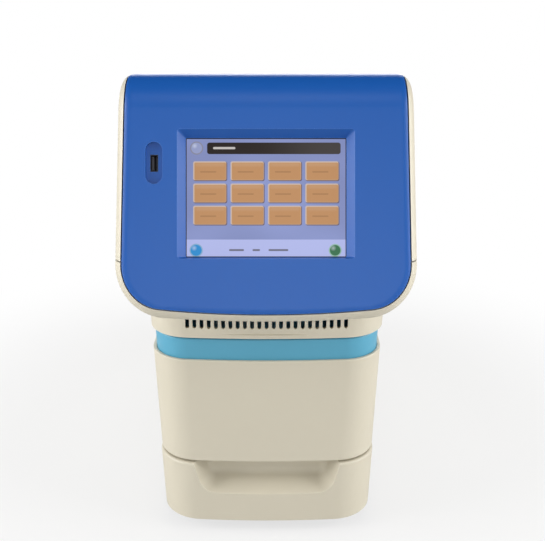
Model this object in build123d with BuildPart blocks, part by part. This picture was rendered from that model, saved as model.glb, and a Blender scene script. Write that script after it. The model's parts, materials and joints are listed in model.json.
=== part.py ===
from build123d import *
from math import cos, radians, sin, sqrt, tan
import os

# Bench real-time PCR instrument: a touch-screen head over a sample drawer.
# X to the right, Y to the back, Z up. The origin is at the middle of the footprint, on the bench.
# Millimetres throughout.

# Overall size
overall_width = 246.0
overall_height = 426.0
overall_depth = 512.0

# Housings
wall = 3.0
seam = 1.2
close_gap = 0.3
front_y = -overall_depth / 2
rear_y = overall_depth / 2
overcut = 4.0
beyond = 2 * overall_depth

# Lower body: a drafted prism with a gently crowned front
base_bottom = 12.0
base_height = 60.5
base_proud = 1.0
drawer_gap = 2.5
drawer_height = 103.0
deck_rise = 20.0
neck_gap = 2.0
lower_setback = 57.0
lower_front_y = front_y + lower_setback
lower_half_width = 98.5
lower_draft = 2.28
lower_corner = 38.0
lower_crown_radius = 820.0
front_section = 97.0
side_seam_y = lower_front_y + front_section

base_top = base_bottom + base_height
drawer_bottom = base_top + drawer_gap
drawer_rim = drawer_bottom + drawer_height
deck_top = drawer_rim + deck_rise
neck_bottom = deck_top + neck_gap

# Head: leaned-back face, rounded crest and a roof that falls to the back
head_bottom = 237.0
face_tilt = 20.0
head_corner = 42.0
head_draft = 1.2
head_crown_radius = 1300.0
edge_round = 12.0
crest_radius = 35.0
roof_slope = 9.0
chin_seam_z = 286.6
head_reach = 20.0
face_corner_y = front_y - edge_round / tan(radians((90 - face_tilt) / 2)) + edge_round

# Front bezel
bezel_wall = 5.0
bezel_half_low = 117.0
bezel_half_high = 113.0
bezel_bottom = 247.2
bezel_corner = 33.0
bezel_crown_radius = 900.0
bezel_roof_reach = 108.0
bezel_roof_y = front_y + bezel_roof_reach
bezel_lip = 5.0

# Display, measured up the leaned-back face
window_width = 130.4
window_height = 96.7
window_up = 105.9
recess_side = 6.25
recess_width = window_width + 2 * recess_side
recess_low = 56.3
recess_high = 160.7
recess_depth = 7.0
recess_lip = 0.6
boss_margin = 4.0
glass_margin = 4.0
glass_thickness = 1.1
module_margin = 8.0
module_thickness = 9.0
bracket_margin = 16.0
bracket_thickness = 1.5
bracket_post_radius = 3.5
display_board_gap = 3.6
board_thickness = 1.6

# Front USB port
port_x = -90.3
port_up = 133.4
port_recess_width = 13.7
port_recess_height = 33.9
port_recess_depth = 3.5
port_width = 5.8
port_height = 13.2
port_depth = 15.0
port_skin = 0.4

# Neck vents
vent_count = 23
vent_pitch = 6.35
vent_width = 3.5
vent_bottom = 209.0
vent_top = 226.0
vent_panel_width = 147.0
vent_panel_bottom = 203.5
vent_panel_top = 230.0
vent_panel_depth = 1.2

# Finger scoop in the base
scoop_half_top = 70.0
scoop_half_bottom = 61.0
scoop_bottom = 40.7
scoop_corner = 18.0
scoop_depth = 24.0
scoop_taper = 24.0
scoop_wall = 2.5
scoop_sink = 0.2
scoop_floor_round = 8.0
base_edge_round = 2.5
base_boss_x = 80.0
base_boss_y = lower_front_y + 49.0

# Feet and base pan
foot_radius = 12.0
foot_draft = 8.0
foot_height = 13.0
foot_x = 70.0
foot_front_y = lower_front_y + 49.0
foot_rear_y = rear_y - 36.0
sheet = 2.0
pan_half_width = 94.0
pan_front_y = lower_front_y + 13.0
pan_rear_margin = 7.0
pan_rear_y = rear_y - pan_rear_margin
pan_flange = 15.0
pan_slot_y = -10.0
pan_top = foot_height + sheet

# Side frames
frame_inner = 90.0
frame_sheet = 2.0
frame_front_y = side_seam_y + 4.0
frame_shoulder = 262.0
frame_head_top = 345.0
frame_head_front_y = front_y + 51.0
frame_brow_y = frame_head_front_y + 40.0
frame_crown_y = frame_brow_y + 95.0
frame_nape_y = frame_crown_y + 30.0
frame_slot_y = rear_y - 181.0
boss_radius = 5.0
boss_front_y = side_seam_y + 18.0
boss_rear_y = rear_y - 46.0
side_boss_places = [(boss_front_y, 54), (boss_rear_y, 54), (boss_front_y, 200), (boss_rear_y, 222)]

# Rear panel
panel_sheet = 2.0
panel_recess = 4.5
panel_outer_y = rear_y - panel_recess
panel_inner_y = panel_outer_y - panel_sheet

# Drawer mechanism
block_y = lower_front_y + 105.0
tray_half_width = 77.0
tray_front_y = pan_front_y
tray_overrun = 3.0
slide_length = 260.0
slide_front_y = frame_front_y
tray_rear_y = slide_front_y + slide_length + tray_overrun
tray_wall_top = 130.0
tray_floor = drawer_bottom + wall
slide_z = 108.0
slide_sheet = 1.5
slide_inner_half = 14.0
slide_running_gap = 0.4
slide_inner_flange = 83.0
slide_middle_web = 84.5
slide_middle_flange = 79.5
slide_outer_flange = 81.0
narrow_deck_half = 86.0
narrow_deck_rear_y = block_y + 52.0
deck_sheet = 2.5
deck_skirt = 10.0
nest_width = 130.0
nest_depth = 92.0
nest_collar = 2.0
nest_collar_bottom = 170.0
deck_round = 2.0
rim_round = 1.0
drawer_low_round = 1.5

# Sample block stack
block_top = 184.0
block_width = 116.0
block_depth = 80.0
block_height = 18.0
well_pitch = 9.0
well_columns = 12
well_rows = 8
well_mouth_radius = 2.8
well_taper = 8.8
well_depth = 13.5
peltier_size = 36.0
peltier_thickness = 3.6
peltier_pitch = 38.0
sink_base = 8.0
sink_half_depth = 47.0
fin_height = 40.0
fin_count = 22
fin_pitch = 5.7
fin_thickness = 1.5
collar_width = 126.0
collar_depth = 88.0
collar_clearance = 1.0
collar_height = 18.5

block_bottom = block_top - block_height
sink_top = block_bottom - peltier_thickness
fin_top = sink_top - sink_base
fin_bottom = fin_top - fin_height

# Fans
fan_size = 92.0
fan_thickness = 25.0
fan_duct_radius = 43.0
fan_tip_radius = 41.8
fan_hub_radius = 17.0
fan_mount = 41.25
fan_mount_radius = 2.2
fan_corner = 5.0
fan_strut = 3.0
fan_blades = 7
blade_pitch = 38.0
exhaust_z = 190.0

# Heated lid
lid_plate_bottom = 204.0
lid_plate_thickness = 6.0
lid_half_width = 61.0
lid_half_depth = 43.5
lid_height = 14.0
lid_hole_radius = 2.2
lid_window_width = 108.0
lid_window_depth = 72.0
wing_bottom = 218.0
wing_thickness = 8.0
wing_reach = 86.5
screw_x = 78.0
screw_y = block_y + 61.0
rod_y = block_y - 56.0
screw_radius = 4.0
screw_bottom = 200.5
running_gap = 0.05
nut_radius = 7.0
nut_flange_radius = 8.0
nut_flange = 3.0
nut_length = 12.0
optics_deck_bottom = 248.0
optics_deck_sheet = 3.0
pulley_radius = 10.0
pulley_flange_radius = 12.0
pulley_bottom = 254.5
pulley_height = 9.0
pulley_flange = 1.2
belt_width = 6.0
belt_thickness = 1.5
motor_y = screw_y + 39.0
motor_size = 42.0
motor_height = 40.0
motor_shaft_radius = 2.5
motor_boss_radius = 11.0
motor_boss_height = 2.0
shaft_end = 2.0
rod_chamfer = 0.8
screw_collar_radius = 7.0
collar_gap = 0.2
optics_deck_front_y = block_y - 71.0
optics_deck_rear_y = rear_y - 51.0
deck_slot_margin = 33.0

deck_plate_top = optics_deck_bottom + optics_deck_sheet
pulley_top = pulley_bottom + pulley_height
motor_shaft_bottom = optics_deck_bottom - 11.7

# Optics
optics_wall = 2.5
optics_half_width = 66.0
optics_axis_z = 330.0
chimney_half_depth = 47.0
bench_z = 288.0
optics_top = 382.0
optics_rear_y = block_y + 154.0
lens_width = 122.0
lens_depth = 86.0
lens_edge = 3.0
lens_crown = 6.0
mirror_width = 118.0
mirror_length = 108.0
mirror_thickness = 3.0
wheel_x = -34.0
wheel_y = optics_rear_y + 6.0
wheel_radius = 46.0
wheel_thickness = 5.0
filter_circle = 34.0
filter_radius = 10.0
filter_count = 5
filter_thickness = 3.0
stepper_size = 28.0
stepper_y = optics_rear_y + 20.0
stepper_length = 32.0
camera_size = 34.0
camera_y = optics_rear_y + 32.0
camera_length = 50.0
camera_lens_radius = 14.0
lamp_x = 44.0
lamp_radius = 15.0
lamp_y = optics_rear_y + 16.0
bench_front_y = lamp_y
bench_rear_y = bench_front_y + 74.0
bench_sheet = 3.0

# Electronics and rear connectors
supply_width = 110.0
supply_length = 170.0
supply_height = 50.0
supply_x = -31.0
supply_y = rear_y - 121.0
board_width = 56.0
board_length = 170.0
board_x = 58.0
board_lift = 7.0
service_z = 46.0
inlet_x = -60.0
switch_x = -18.0
inlet_body_width = 27.0
inlet_body_height = 19.5
inlet_body_depth = 18.0
inlet_flange_width = 48.0
inlet_flange_height = 24.0
inlet_flange = 2.5
inlet_mouth_width = 24.4
inlet_mouth_height = 16.4
switch_width = 13.0
switch_height = 19.0
switch_depth = 15.0
rocker_swing = 14.0
rocker_gap = 0.4
rocker_crest = 3.0
rocker_reach = 7.2
rocker_shoulder = 3.0
rocker_root = 5.0
rocker_pin_radius = 1.2
network_x = 30.0
network_width = 16.0
network_height = 13.4
network_depth = 21.0
serial_x = 66.0
serial_width = 31.0
serial_height = 12.5
serial_depth = 12.0
rear_usb_x = 30.0
rear_usb_z = 76.0

os.makedirs("parts", exist_ok=True)


def save(piece, node):
    """Label one finished piece and write it as its own file."""
    piece.part.label = node
    export_step(piece.part, f"parts/{node}.step")


def sagitta(radius, half_chord):
    """Height of an arc over its chord."""
    return radius - sqrt(radius**2 - half_chord**2)


def lower_half_at(height):
    """Half-width of the drafted lower body at a height."""
    return lower_half_width + (height - base_bottom) * tan(radians(lower_draft))


def ahead_of_seam(edge):
    """Whether an edge lies in front of the vertical side seam."""
    return edge.center().Y < side_seam_y


def lower_form(inset, bottom, top, rear=rear_y):
    """Lower body's outer form, moved in by inset, from bottom to top."""
    front = lower_front_y + inset
    side = overall_width / 2
    side_y = front + sagitta(lower_crown_radius, side)
    half_low = lower_half_at(bottom) - inset
    half_high = lower_half_at(top) - inset
    with BuildPart() as form:
        with BuildSketch(Plane.XY.offset(bottom)):
            with BuildLine():
                ThreePointArc((-side, side_y), (0, front), (side, side_y))
                Polyline((side, side_y), (side, rear), (-side, rear), (-side, side_y))
            make_face()
        extrude(amount=top - bottom)
        with BuildSketch(Plane.XZ):
            with BuildLine():
                Polyline((-half_low, bottom), (half_low, bottom), (half_high, top), (-half_high, top), close=True)
            make_face()
        extrude(amount=overall_depth, both=True, mode=Mode.INTERSECT)
        corners = form.edges().filter_by_position(Axis.Z, bottom + 1, top - 1).sort_by(Axis.Y)[:2]
        fillet(corners, radius=lower_corner - inset)
    return form.part


def head_form(inset, rear=rear_y):
    """Head's outer form, moved in by inset."""
    tilt, slope = radians(face_tilt), radians(roof_slope)
    half_low = overall_width / 2 + head_corner * tan(radians(head_draft))
    top = overall_height + head_reach
    half_high = half_low - (top - head_bottom) * tan(radians(head_draft))
    low = head_bottom + sagitta(head_crown_radius, half_low)
    up_face = (overall_height - head_bottom - crest_radius * (1 - sin(tilt))) / cos(tilt)
    centre_y = face_corner_y + up_face * sin(tilt) + crest_radius * cos(tilt)
    centre_z = overall_height - crest_radius
    face_end = (centre_y - crest_radius * cos(tilt), centre_z + crest_radius * sin(tilt))
    crest = (centre_y, overall_height)
    roof_start = (centre_y + crest_radius * sin(slope), centre_z + crest_radius * cos(slope))
    roof_end_y = rear + head_reach
    roof_end_z = roof_start[1] - (roof_end_y - roof_start[0]) * tan(slope)
    foot = (face_corner_y - head_reach * tan(tilt), head_bottom - head_reach)
    with BuildPart() as form:
        with BuildSketch(Plane.XZ.offset(-rear)) as section:
            with BuildLine():
                ThreePointArc((-half_low, low), (0, head_bottom), (half_low, low))
                Polyline((half_low, low), (half_high, top), (-half_high, top), (-half_low, low))
            make_face()
            fillet(section.vertices().group_by(Axis.Y)[0], radius=head_corner)
            if inset:
                offset(amount=-inset, mode=Mode.REPLACE)
        extrude(amount=rear - front_y + head_reach)
        with BuildSketch(Plane.YZ):
            with BuildLine():
                Polyline(foot, face_end)
                ThreePointArc(face_end, crest, roof_start)
                Polyline(roof_start, (roof_end_y, roof_end_z), (roof_end_y, foot[1]), foot)
            make_face()
            if inset:
                offset(amount=-inset, mode=Mode.REPLACE)
        extrude(amount=overall_width, both=True, mode=Mode.INTERSECT)
        rim = form.faces().sort_by(Axis.Y)[0].edges().filter_by_position(
            Axis.Z, head_bottom - 1, head_bottom + head_corner * 0.95
        )
        for side in form.faces().filter_by(lambda face: abs(face.normal_at().X) > 0.9):
            rim += side.edges().sort_by(Axis.Y)[:-1].sort_by(Axis.Z)[1:]
        fillet(rim, radius=edge_round - inset)
    return form.part


def bezel_prism(grow):
    """Space inside the bezel's edge line, grown by a gap, from the roof seam forward."""
    half_bottom = bezel_half_low + grow
    half_top = bezel_half_high + grow
    low = bezel_bottom - grow
    side_low = low + sagitta(bezel_crown_radius, half_bottom)
    top = overall_height + head_reach
    with BuildPart() as prism:
        with BuildSketch(Plane.XZ.offset(-bezel_roof_y - grow)) as outline:
            with BuildLine():
                ThreePointArc((-half_bottom, side_low), (0, low), (half_bottom, side_low))
                Polyline((half_bottom, side_low), (half_top, top), (-half_top, top), (-half_bottom, side_low))
            make_face()
            fillet(outline.vertices().group_by(Axis.Y)[0], radius=bezel_corner + grow)
        extrude(amount=overall_depth / 2)
    return prism.part


def face_plane(depth):
    """Plane parallel to the leaned-back face, at a depth behind it, with local Y up the face."""
    tilt = radians(face_tilt)
    corner = Plane(
        origin=(0, face_corner_y, head_bottom),
        x_dir=(1, 0, 0),
        z_dir=(0, -cos(tilt), sin(tilt)),
    )
    return corner.offset(-depth)


def block_space(low, high):
    """Axis-aligned solid between two corners."""
    with BuildPart() as space:
        with Locations([((low[0] + high[0]) / 2, (low[1] + high[1]) / 2, (low[2] + high[2]) / 2)]):
            Box(high[0] - low[0], high[1] - low[1], high[2] - low[2])
    return space.part


head_outer = head_form(0.0)
head_inner = head_form(wall, rear_y + head_reach)
head_snug = head_form(wall + close_gap, rear_y + head_reach)
head_bezel_inner = head_form(bezel_wall, rear_y + head_reach)

# Feet: moulded rubber discs under the pan
with BuildPart() as rubber_feet:
    with Locations(
        [(x, y, 0) for x in (-foot_x, foot_x) for y in (foot_front_y, foot_rear_y)]
    ):
        Cone(
            foot_radius - foot_height * tan(radians(foot_draft)),
            foot_radius,
            foot_height,
            align=(Align.CENTER, Align.CENTER, Align.MIN),
        )
    chamfer(rubber_feet.edges().group_by(Axis.Z)[0], 1.0)
save(rubber_feet, "rubber_feet")

# Base pan: folded steel with an upturned flange on each side
with BuildPart() as base_pan:
    with BuildSketch(Plane.XY.offset(foot_height)):
        with Locations((0, (pan_front_y + pan_rear_y) / 2)):
            Rectangle(2 * pan_half_width, pan_rear_y - pan_front_y)
    extrude(amount=sheet)
    corner_edges = base_pan.edges().filter_by(Axis.Z).sort_by(Axis.Y)[:2]
    fillet(corner_edges, radius=lower_corner - 8)
    with BuildSketch(Plane.XY.offset(pan_top)):
        with Locations(
            [(side * (pan_half_width - sheet / 2), (frame_front_y + pan_rear_y) / 2) for side in (-1, 1)]
        ):
            Rectangle(sheet, pan_rear_y - frame_front_y)
    extrude(amount=pan_flange)
    with BuildSketch(Plane.XY.offset(foot_height)):
        with Locations((0, pan_slot_y)):
            with GridLocations(12, 0, 11, 1):
                SlotOverall(60, 4, rotation=90)
    extrude(amount=sheet, mode=Mode.SUBTRACT)
save(base_pan, "base_pan")


def side_frame(side):
    """Steel side plate that carries the slides, the optics deck and the head."""
    with BuildPart() as plate:
        with BuildSketch(Plane.YZ.offset(side * (frame_inner + frame_sheet / 2))) as outline:
            with BuildLine():
                Polyline(
                    (frame_front_y, pan_top),
                    (panel_inner_y, pan_top),
                    (panel_inner_y, frame_shoulder),
                    (frame_nape_y, frame_shoulder),
                    (frame_crown_y, frame_head_top),
                    (frame_brow_y, frame_head_top),
                    (frame_head_front_y, frame_shoulder + 20),
                    (frame_head_front_y, optics_deck_bottom + 4),
                    (frame_front_y, optics_deck_bottom - 22),
                    close=True,
                )
            make_face()
            fillet(outline.vertices().group_by(Axis.Y)[-1], radius=12)
            with Locations((frame_slot_y, 52)):
                SlotOverall(200, 40, mode=Mode.SUBTRACT)
            with Locations((frame_slot_y, 187)):
                SlotOverall(240, 80, mode=Mode.SUBTRACT)
            with Locations((block_y - 26, 302)):
                SlotOverall(64, 44, rotation=90, mode=Mode.SUBTRACT)
        extrude(amount=frame_sheet / 2, both=True)
    return plate


side_frame_left = side_frame(-1)
save(side_frame_left, "side_frame_left")
side_frame_right = side_frame(1)
save(side_frame_right, "side_frame_right")


def scoop_space(grow):
    """Finger scoop's hollow, grown by a wall."""
    low = scoop_bottom - grow
    high = base_top + drawer_height / 3
    rise = (high - low) / (base_top - scoop_bottom)
    half_low = scoop_half_bottom + grow
    half_high = half_low + (scoop_half_top - scoop_half_bottom) * rise
    start = -lower_front_y + base_proud + 1
    with BuildPart() as space:
        with BuildSketch(Plane.XZ.offset(start)) as mouth:
            with BuildLine():
                Polyline((-half_low, low), (half_low, low), (half_high, high), (-half_high, high), close=True)
            make_face()
            fillet(mouth.vertices().group_by(Axis.Y)[0], radius=scoop_corner + grow)
        extrude(amount=-(scoop_depth + grow + 1), taper=scoop_taper)
        fillet(space.faces().sort_by(Axis.Y)[-1].edges().group_by(Axis.Z)[:-1], radius=scoop_floor_round)
    return space.part


# Base housing: front skirt with a closed top shelf and the finger scoop
base_outer = lower_form(-base_proud, base_bottom, base_top)
base_inner = lower_form(wall - base_proud, base_bottom - overcut, base_top - wall, rear_y + overcut)
base_reach = block_space((-beyond, -beyond, 0), (beyond, side_seam_y - seam / 2, beyond))
with BuildPart() as scoop_wall_form:
    add(scoop_space(scoop_wall))
    add(lower_form(scoop_sink - base_proud, base_bottom, base_top - base_edge_round), mode=Mode.INTERSECT)
with BuildPart() as base_housing:
    add(base_outer)
    fillet(base_housing.edges().group_by(Axis.Z)[-1].filter_by(ahead_of_seam), base_edge_round)
    add(base_inner, mode=Mode.SUBTRACT)
    add(base_reach, mode=Mode.INTERSECT)
    with BuildSketch(Plane.XY.offset(pan_top)):
        with GridLocations(2 * base_boss_x, 0, 2, 1):
            with Locations((0, base_boss_y)):
                Circle(boss_radius)
    extrude(amount=base_top - wall - pan_top)
    add(scoop_wall_form.part)
    add(scoop_space(0.0), mode=Mode.SUBTRACT)
save(base_housing, "base_housing")

# Lower side covers with screw bosses to the side frames
cover_top = head_bottom + 13.2
side_outer = lower_form(0.0, base_bottom, cover_top)
side_inner = lower_form(wall, base_bottom - overcut, cover_top + overcut, rear_y + overcut)


def side_cover(side):
    """Lower cover of one side, from the vertical seam to the back."""
    low_x, high_x = (-beyond, 0) if side < 0 else (0, beyond)
    reach = block_space((low_x, side_seam_y + seam / 2, 0), (high_x, beyond, beyond))
    frame_outer = frame_inner + frame_sheet
    with BuildPart() as cover:
        add(side_outer)
        add(side_inner, mode=Mode.SUBTRACT)
        add(reach, mode=Mode.INTERSECT)
        with BuildSketch(Plane.YZ.offset(side * frame_outer)):
            with Locations(side_boss_places):
                Circle(boss_radius)
        extrude(until=Until.NEXT, dir=(side, 0, 0))
    return cover


side_cover_left = side_cover(-1)
save(side_cover_left, "side_cover_left")
side_cover_right = side_cover(1)
save(side_cover_right, "side_cover_right")

# Chin housing: lower rim of the head and the vented neck in one moulding
chin_rear_y = side_seam_y - seam / 2
chin_reach = block_space((-beyond, -beyond, neck_bottom), (beyond, chin_rear_y, chin_seam_z - seam / 2))
with BuildPart() as chin_housing:
    add(head_outer)
    add(lower_form(0.0, neck_bottom, chin_seam_z))
    add(chin_reach, mode=Mode.INTERSECT)
    add(head_inner, mode=Mode.SUBTRACT)
    add(lower_form(wall, neck_bottom - overcut, chin_seam_z, rear_y + overcut), mode=Mode.SUBTRACT)
    add(bezel_prism(seam), mode=Mode.SUBTRACT)
    with BuildSketch(Plane.XZ.offset(-lower_front_y - vent_panel_depth)):
        with Locations((0, (vent_panel_bottom + vent_panel_top) / 2)):
            RectangleRounded(vent_panel_width, vent_panel_top - vent_panel_bottom, 4)
    extrude(amount=4, mode=Mode.SUBTRACT)
    with BuildSketch(Plane.XZ.offset(-lower_front_y - wall - 6)):
        with Locations((0, (vent_bottom + vent_top) / 2)):
            with GridLocations(vent_pitch, 0, vent_count, 1):
                SlotOverall(vent_top - vent_bottom, vent_width, rotation=90)
    extrude(amount=14, mode=Mode.SUBTRACT)
save(chin_housing, "chin_housing")

# Upper cover: top and both sides of the head
upper_reach_front = block_space((-beyond, -beyond, chin_seam_z + seam / 2), (beyond, beyond, beyond))
upper_reach_rear = block_space((-beyond, side_seam_y + seam / 2, cover_top + seam), (beyond, beyond, beyond))
with BuildPart() as upper_reach:
    add(upper_reach_front)
    add(upper_reach_rear)
with BuildPart() as upper_cover:
    add(head_outer)
    add(head_inner, mode=Mode.SUBTRACT)
    add(upper_reach.part, mode=Mode.INTERSECT)
    add(bezel_prism(seam), mode=Mode.SUBTRACT)
save(upper_cover, "upper_cover")

# Rear panel: sheet metal across the head and the lower body
panel_slab = block_space((-beyond, panel_inner_y, pan_top), (beyond, panel_outer_y, beyond))
head_panel_reach = block_space((-beyond, panel_inner_y, cover_top), (beyond, panel_outer_y, beyond))
with BuildPart() as rear_panel:
    add(head_snug)
    add(head_panel_reach, mode=Mode.INTERSECT)
    add(lower_form(wall + close_gap, pan_top, head_bottom + head_corner, rear_y + overcut))
    add(panel_slab, mode=Mode.INTERSECT)
    with BuildSketch(Plane.XZ.offset(-panel_inner_y)):
        with Locations((0, exhaust_z)):
            Circle(fan_duct_radius)
            with GridLocations(2 * fan_mount, 2 * fan_mount, 2, 2):
                Circle(fan_mount_radius)
        with Locations((0, 300)):
            with GridLocations(9, 0, 15, 1):
                SlotOverall(50, 4, rotation=90)
        with Locations((inlet_x, service_z)):
            Rectangle(inlet_body_width + 2 * close_gap, inlet_body_height + 2 * close_gap)
        with Locations((switch_x, service_z)):
            Rectangle(switch_width + 2 * close_gap, switch_height + 2 * close_gap)
        with Locations((network_x, service_z)):
            Rectangle(network_width + 2 * close_gap, network_height + 2 * close_gap)
        with Locations((serial_x, service_z)):
            Rectangle(serial_width + 2 * close_gap, serial_height + 2 * close_gap)
        with Locations((rear_usb_x, rear_usb_z)):
            Rectangle(port_height + 2 * close_gap, port_width + 2 * close_gap)
    extrude(amount=-panel_sheet - 1, mode=Mode.SUBTRACT)
save(rear_panel, "rear_panel")

# Front bezel: blue face that wraps over the crest, with a lip behind the rim and recesses for screen and port
window_low = window_up - window_height / 2
window_high = window_up + window_height / 2
recess_height = recess_high - recess_low
recess_up = (recess_high + recess_low) / 2
with BuildPart() as bezel_lip_form:
    add(head_snug)
    add(bezel_prism(bezel_lip), mode=Mode.INTERSECT)
with BuildPart() as front_bezel:
    add(head_outer)
    add(bezel_prism(0.0), mode=Mode.INTERSECT)
    add(bezel_lip_form.part)
    add(head_bezel_inner, mode=Mode.SUBTRACT)
    with BuildSketch(face_plane(recess_depth + recess_lip)):
        with Locations((0, recess_up)):
            RectangleRounded(recess_width + 2 * boss_margin, recess_height + 2 * boss_margin, 5)
    extrude(amount=recess_depth + recess_lip - 1)
    with BuildSketch(face_plane(port_recess_depth + 2)):
        with Locations((port_x, port_up)):
            SlotOverall(port_recess_height + 4, port_recess_width + 4, rotation=90)
    extrude(amount=port_recess_depth + 1)
    with BuildSketch(face_plane(-0.01)):
        with Locations((0, recess_up)):
            RectangleRounded(recess_width, recess_height, 2.5)
    with BuildSketch(face_plane(recess_depth)):
        with Locations((0, window_up)):
            RectangleRounded(window_width, window_height, 1.0)
    loft(mode=Mode.SUBTRACT)
    with BuildSketch(face_plane(recess_depth + recess_lip + 1)):
        with Locations((0, window_up)):
            RectangleRounded(window_width, window_height, 1.0)
    extrude(amount=3, mode=Mode.SUBTRACT)
    with BuildSketch(face_plane(port_recess_depth)):
        with Locations((port_x, port_up)):
            SlotOverall(port_recess_height, port_recess_width, rotation=90)
    extrude(amount=port_recess_depth + 1, mode=Mode.SUBTRACT)
    with BuildSketch(face_plane(port_recess_depth + 3)):
        with Locations((port_x, port_up)):
            Rectangle(port_width + 2 * close_gap, port_height + 2 * close_gap)
    extrude(amount=5, mode=Mode.SUBTRACT)
save(front_bezel, "front_bezel")

# Touch glass, seated on the back of the recess
glass_depth = recess_depth + recess_lip
with BuildPart() as touch_glass:
    with BuildSketch(face_plane(glass_depth + glass_thickness)):
        with Locations((0, window_up)):
            RectangleRounded(window_width + 2 * glass_margin, window_height + glass_margin, 1.5)
    extrude(amount=glass_thickness)
save(touch_glass, "touch_glass")

# Display module behind the glass: a shallow tray with a thicker lamp edge
module_depth = glass_depth + glass_thickness + close_gap
module_back = module_depth + module_thickness
with BuildPart() as display_module:
    with BuildSketch(face_plane(module_back)):
        with Locations((0, window_up)):
            Rectangle(window_width + 2 * module_margin, window_height + 2 * module_margin)
    extrude(amount=module_thickness)
    chamfer(display_module.edges().filter_by(Axis.X).group_by(Axis.Y)[-1], 2.0)
save(display_module, "display_module")

# Display bracket: back plate with a window and four posts to the back of the bezel
post_x = window_width / 2 + bracket_margin - bracket_post_radius
post_up = window_height / 2 + bracket_margin - bracket_post_radius - 2
with BuildPart() as display_bracket:
    with BuildSketch(face_plane(module_back + bracket_thickness)):
        with Locations((0, window_up)):
            RectangleRounded(window_width + 2 * bracket_margin, window_height + 2 * bracket_margin - 4, 4)
            RectangleRounded(96, 62, 6, mode=Mode.SUBTRACT)
    extrude(amount=bracket_thickness)
    with BuildSketch(face_plane(module_back)):
        with Locations((0, window_up)):
            with GridLocations(2 * post_x, 2 * post_up, 2, 2):
                Circle(bracket_post_radius)
    extrude(amount=module_back - bezel_wall)
save(display_bracket, "display_bracket")

# Display board on stand-offs behind the bracket
board_depth = module_back + bracket_thickness + display_board_gap
with BuildPart() as display_board:
    with BuildSketch(face_plane(board_depth + board_thickness)):
        with Locations((0, window_up)):
            RectangleRounded(126, 88, 2)
    extrude(amount=board_thickness)
    with BuildSketch(face_plane(board_depth)):
        with Locations((0, window_up)):
            with GridLocations(116, 78, 2, 2):
                Circle(3)
    extrude(amount=display_board_gap)
    with BuildSketch(face_plane(board_depth + board_thickness)):
        with Locations((-30, window_up + 10)):
            Rectangle(28, 28)
        with Locations((20, window_up + 18)):
            Rectangle(40, 10)
        with Locations((0, window_up - 34)):
            Rectangle(50, 7)
    extrude(amount=-5)
save(display_board, "display_board")

# Front USB port: metal shell with its tongue
with BuildPart() as usb_port:
    with BuildSketch(face_plane(port_recess_depth + port_depth)):
        with Locations((port_x, port_up)):
            Rectangle(port_width, port_height)
    extrude(amount=port_depth)
    with BuildSketch(face_plane(port_recess_depth + port_depth - 3)):
        with Locations((port_x, port_up)):
            Rectangle(port_width - 2 * port_skin, port_height - 2 * port_skin)
    extrude(amount=port_depth, mode=Mode.SUBTRACT)
    with BuildSketch(face_plane(port_recess_depth + port_depth - 2)):
        with Locations((port_x - 1.1, port_up)):
            Rectangle(1.8, port_height - 2)
    extrude(amount=port_depth - 4)
save(usb_port, "usb_port")

# Drawer shell: rounded front and low floor, open at the back
drawer_reach = block_space((-beyond, -beyond, 0), (beyond, side_seam_y - seam / 2, beyond))
with BuildPart() as drawer_shell:
    add(lower_form(0.0, drawer_bottom, drawer_rim))
    fillet(drawer_shell.edges().group_by(Axis.Z)[0].filter_by(ahead_of_seam), drawer_low_round)
    fillet(drawer_shell.edges().group_by(Axis.Z)[-1].filter_by(ahead_of_seam), rim_round)
    add(lower_form(wall, tray_floor, drawer_rim + overcut, rear_y + overcut), mode=Mode.SUBTRACT)
    add(drawer_reach, mode=Mode.INTERSECT)
save(drawer_shell, "drawer_shell")

# Drawer deck: raised table inside the shell's rim, narrowed between the side frames, with the plate nest
deck_inset = wall + close_gap
deck_skirt_bottom = drawer_rim - deck_skirt
deck_wide_rear = side_seam_y - 4
inner_top = deck_top - deck_sheet
with BuildPart() as deck_hollow:
    add(lower_form(deck_inset + deck_sheet, deck_skirt_bottom - overcut, inner_top))
    add(block_space((-beyond, -beyond, 0), (beyond, deck_wide_rear - deck_sheet, beyond)), mode=Mode.INTERSECT)
with BuildPart() as drawer_deck:
    add(lower_form(deck_inset, deck_skirt_bottom, deck_top))
    add(block_space((-beyond, -beyond, 0), (beyond, deck_wide_rear, beyond)), mode=Mode.INTERSECT)
    add(
        block_space(
            (-narrow_deck_half, deck_wide_rear - 1, deck_skirt_bottom), (narrow_deck_half, narrow_deck_rear_y, deck_top)
        )
    )
    fillet(drawer_deck.edges().group_by(Axis.Z)[-1], deck_round)
    add(deck_hollow.part, mode=Mode.SUBTRACT)
    inner_half = narrow_deck_half - deck_sheet
    add(
        block_space(
            (-inner_half, deck_wide_rear - 2 * deck_sheet, 0), (inner_half, narrow_deck_rear_y - deck_sheet, inner_top)
        ),
        mode=Mode.SUBTRACT,
    )
    with BuildSketch(Plane.XY.offset(nest_collar_bottom)):
        with Locations((0, block_y)):
            RectangleRounded(nest_width + 2 * nest_collar, nest_depth + 2 * nest_collar, 5)
    extrude(amount=inner_top - nest_collar_bottom + 1)
    with BuildSketch(Plane.XY.offset(nest_collar_bottom - 1)):
        with Locations((0, block_y)):
            RectangleRounded(nest_width, nest_depth, 3)
    extrude(amount=deck_top, mode=Mode.SUBTRACT)
save(drawer_deck, "drawer_deck")

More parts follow.
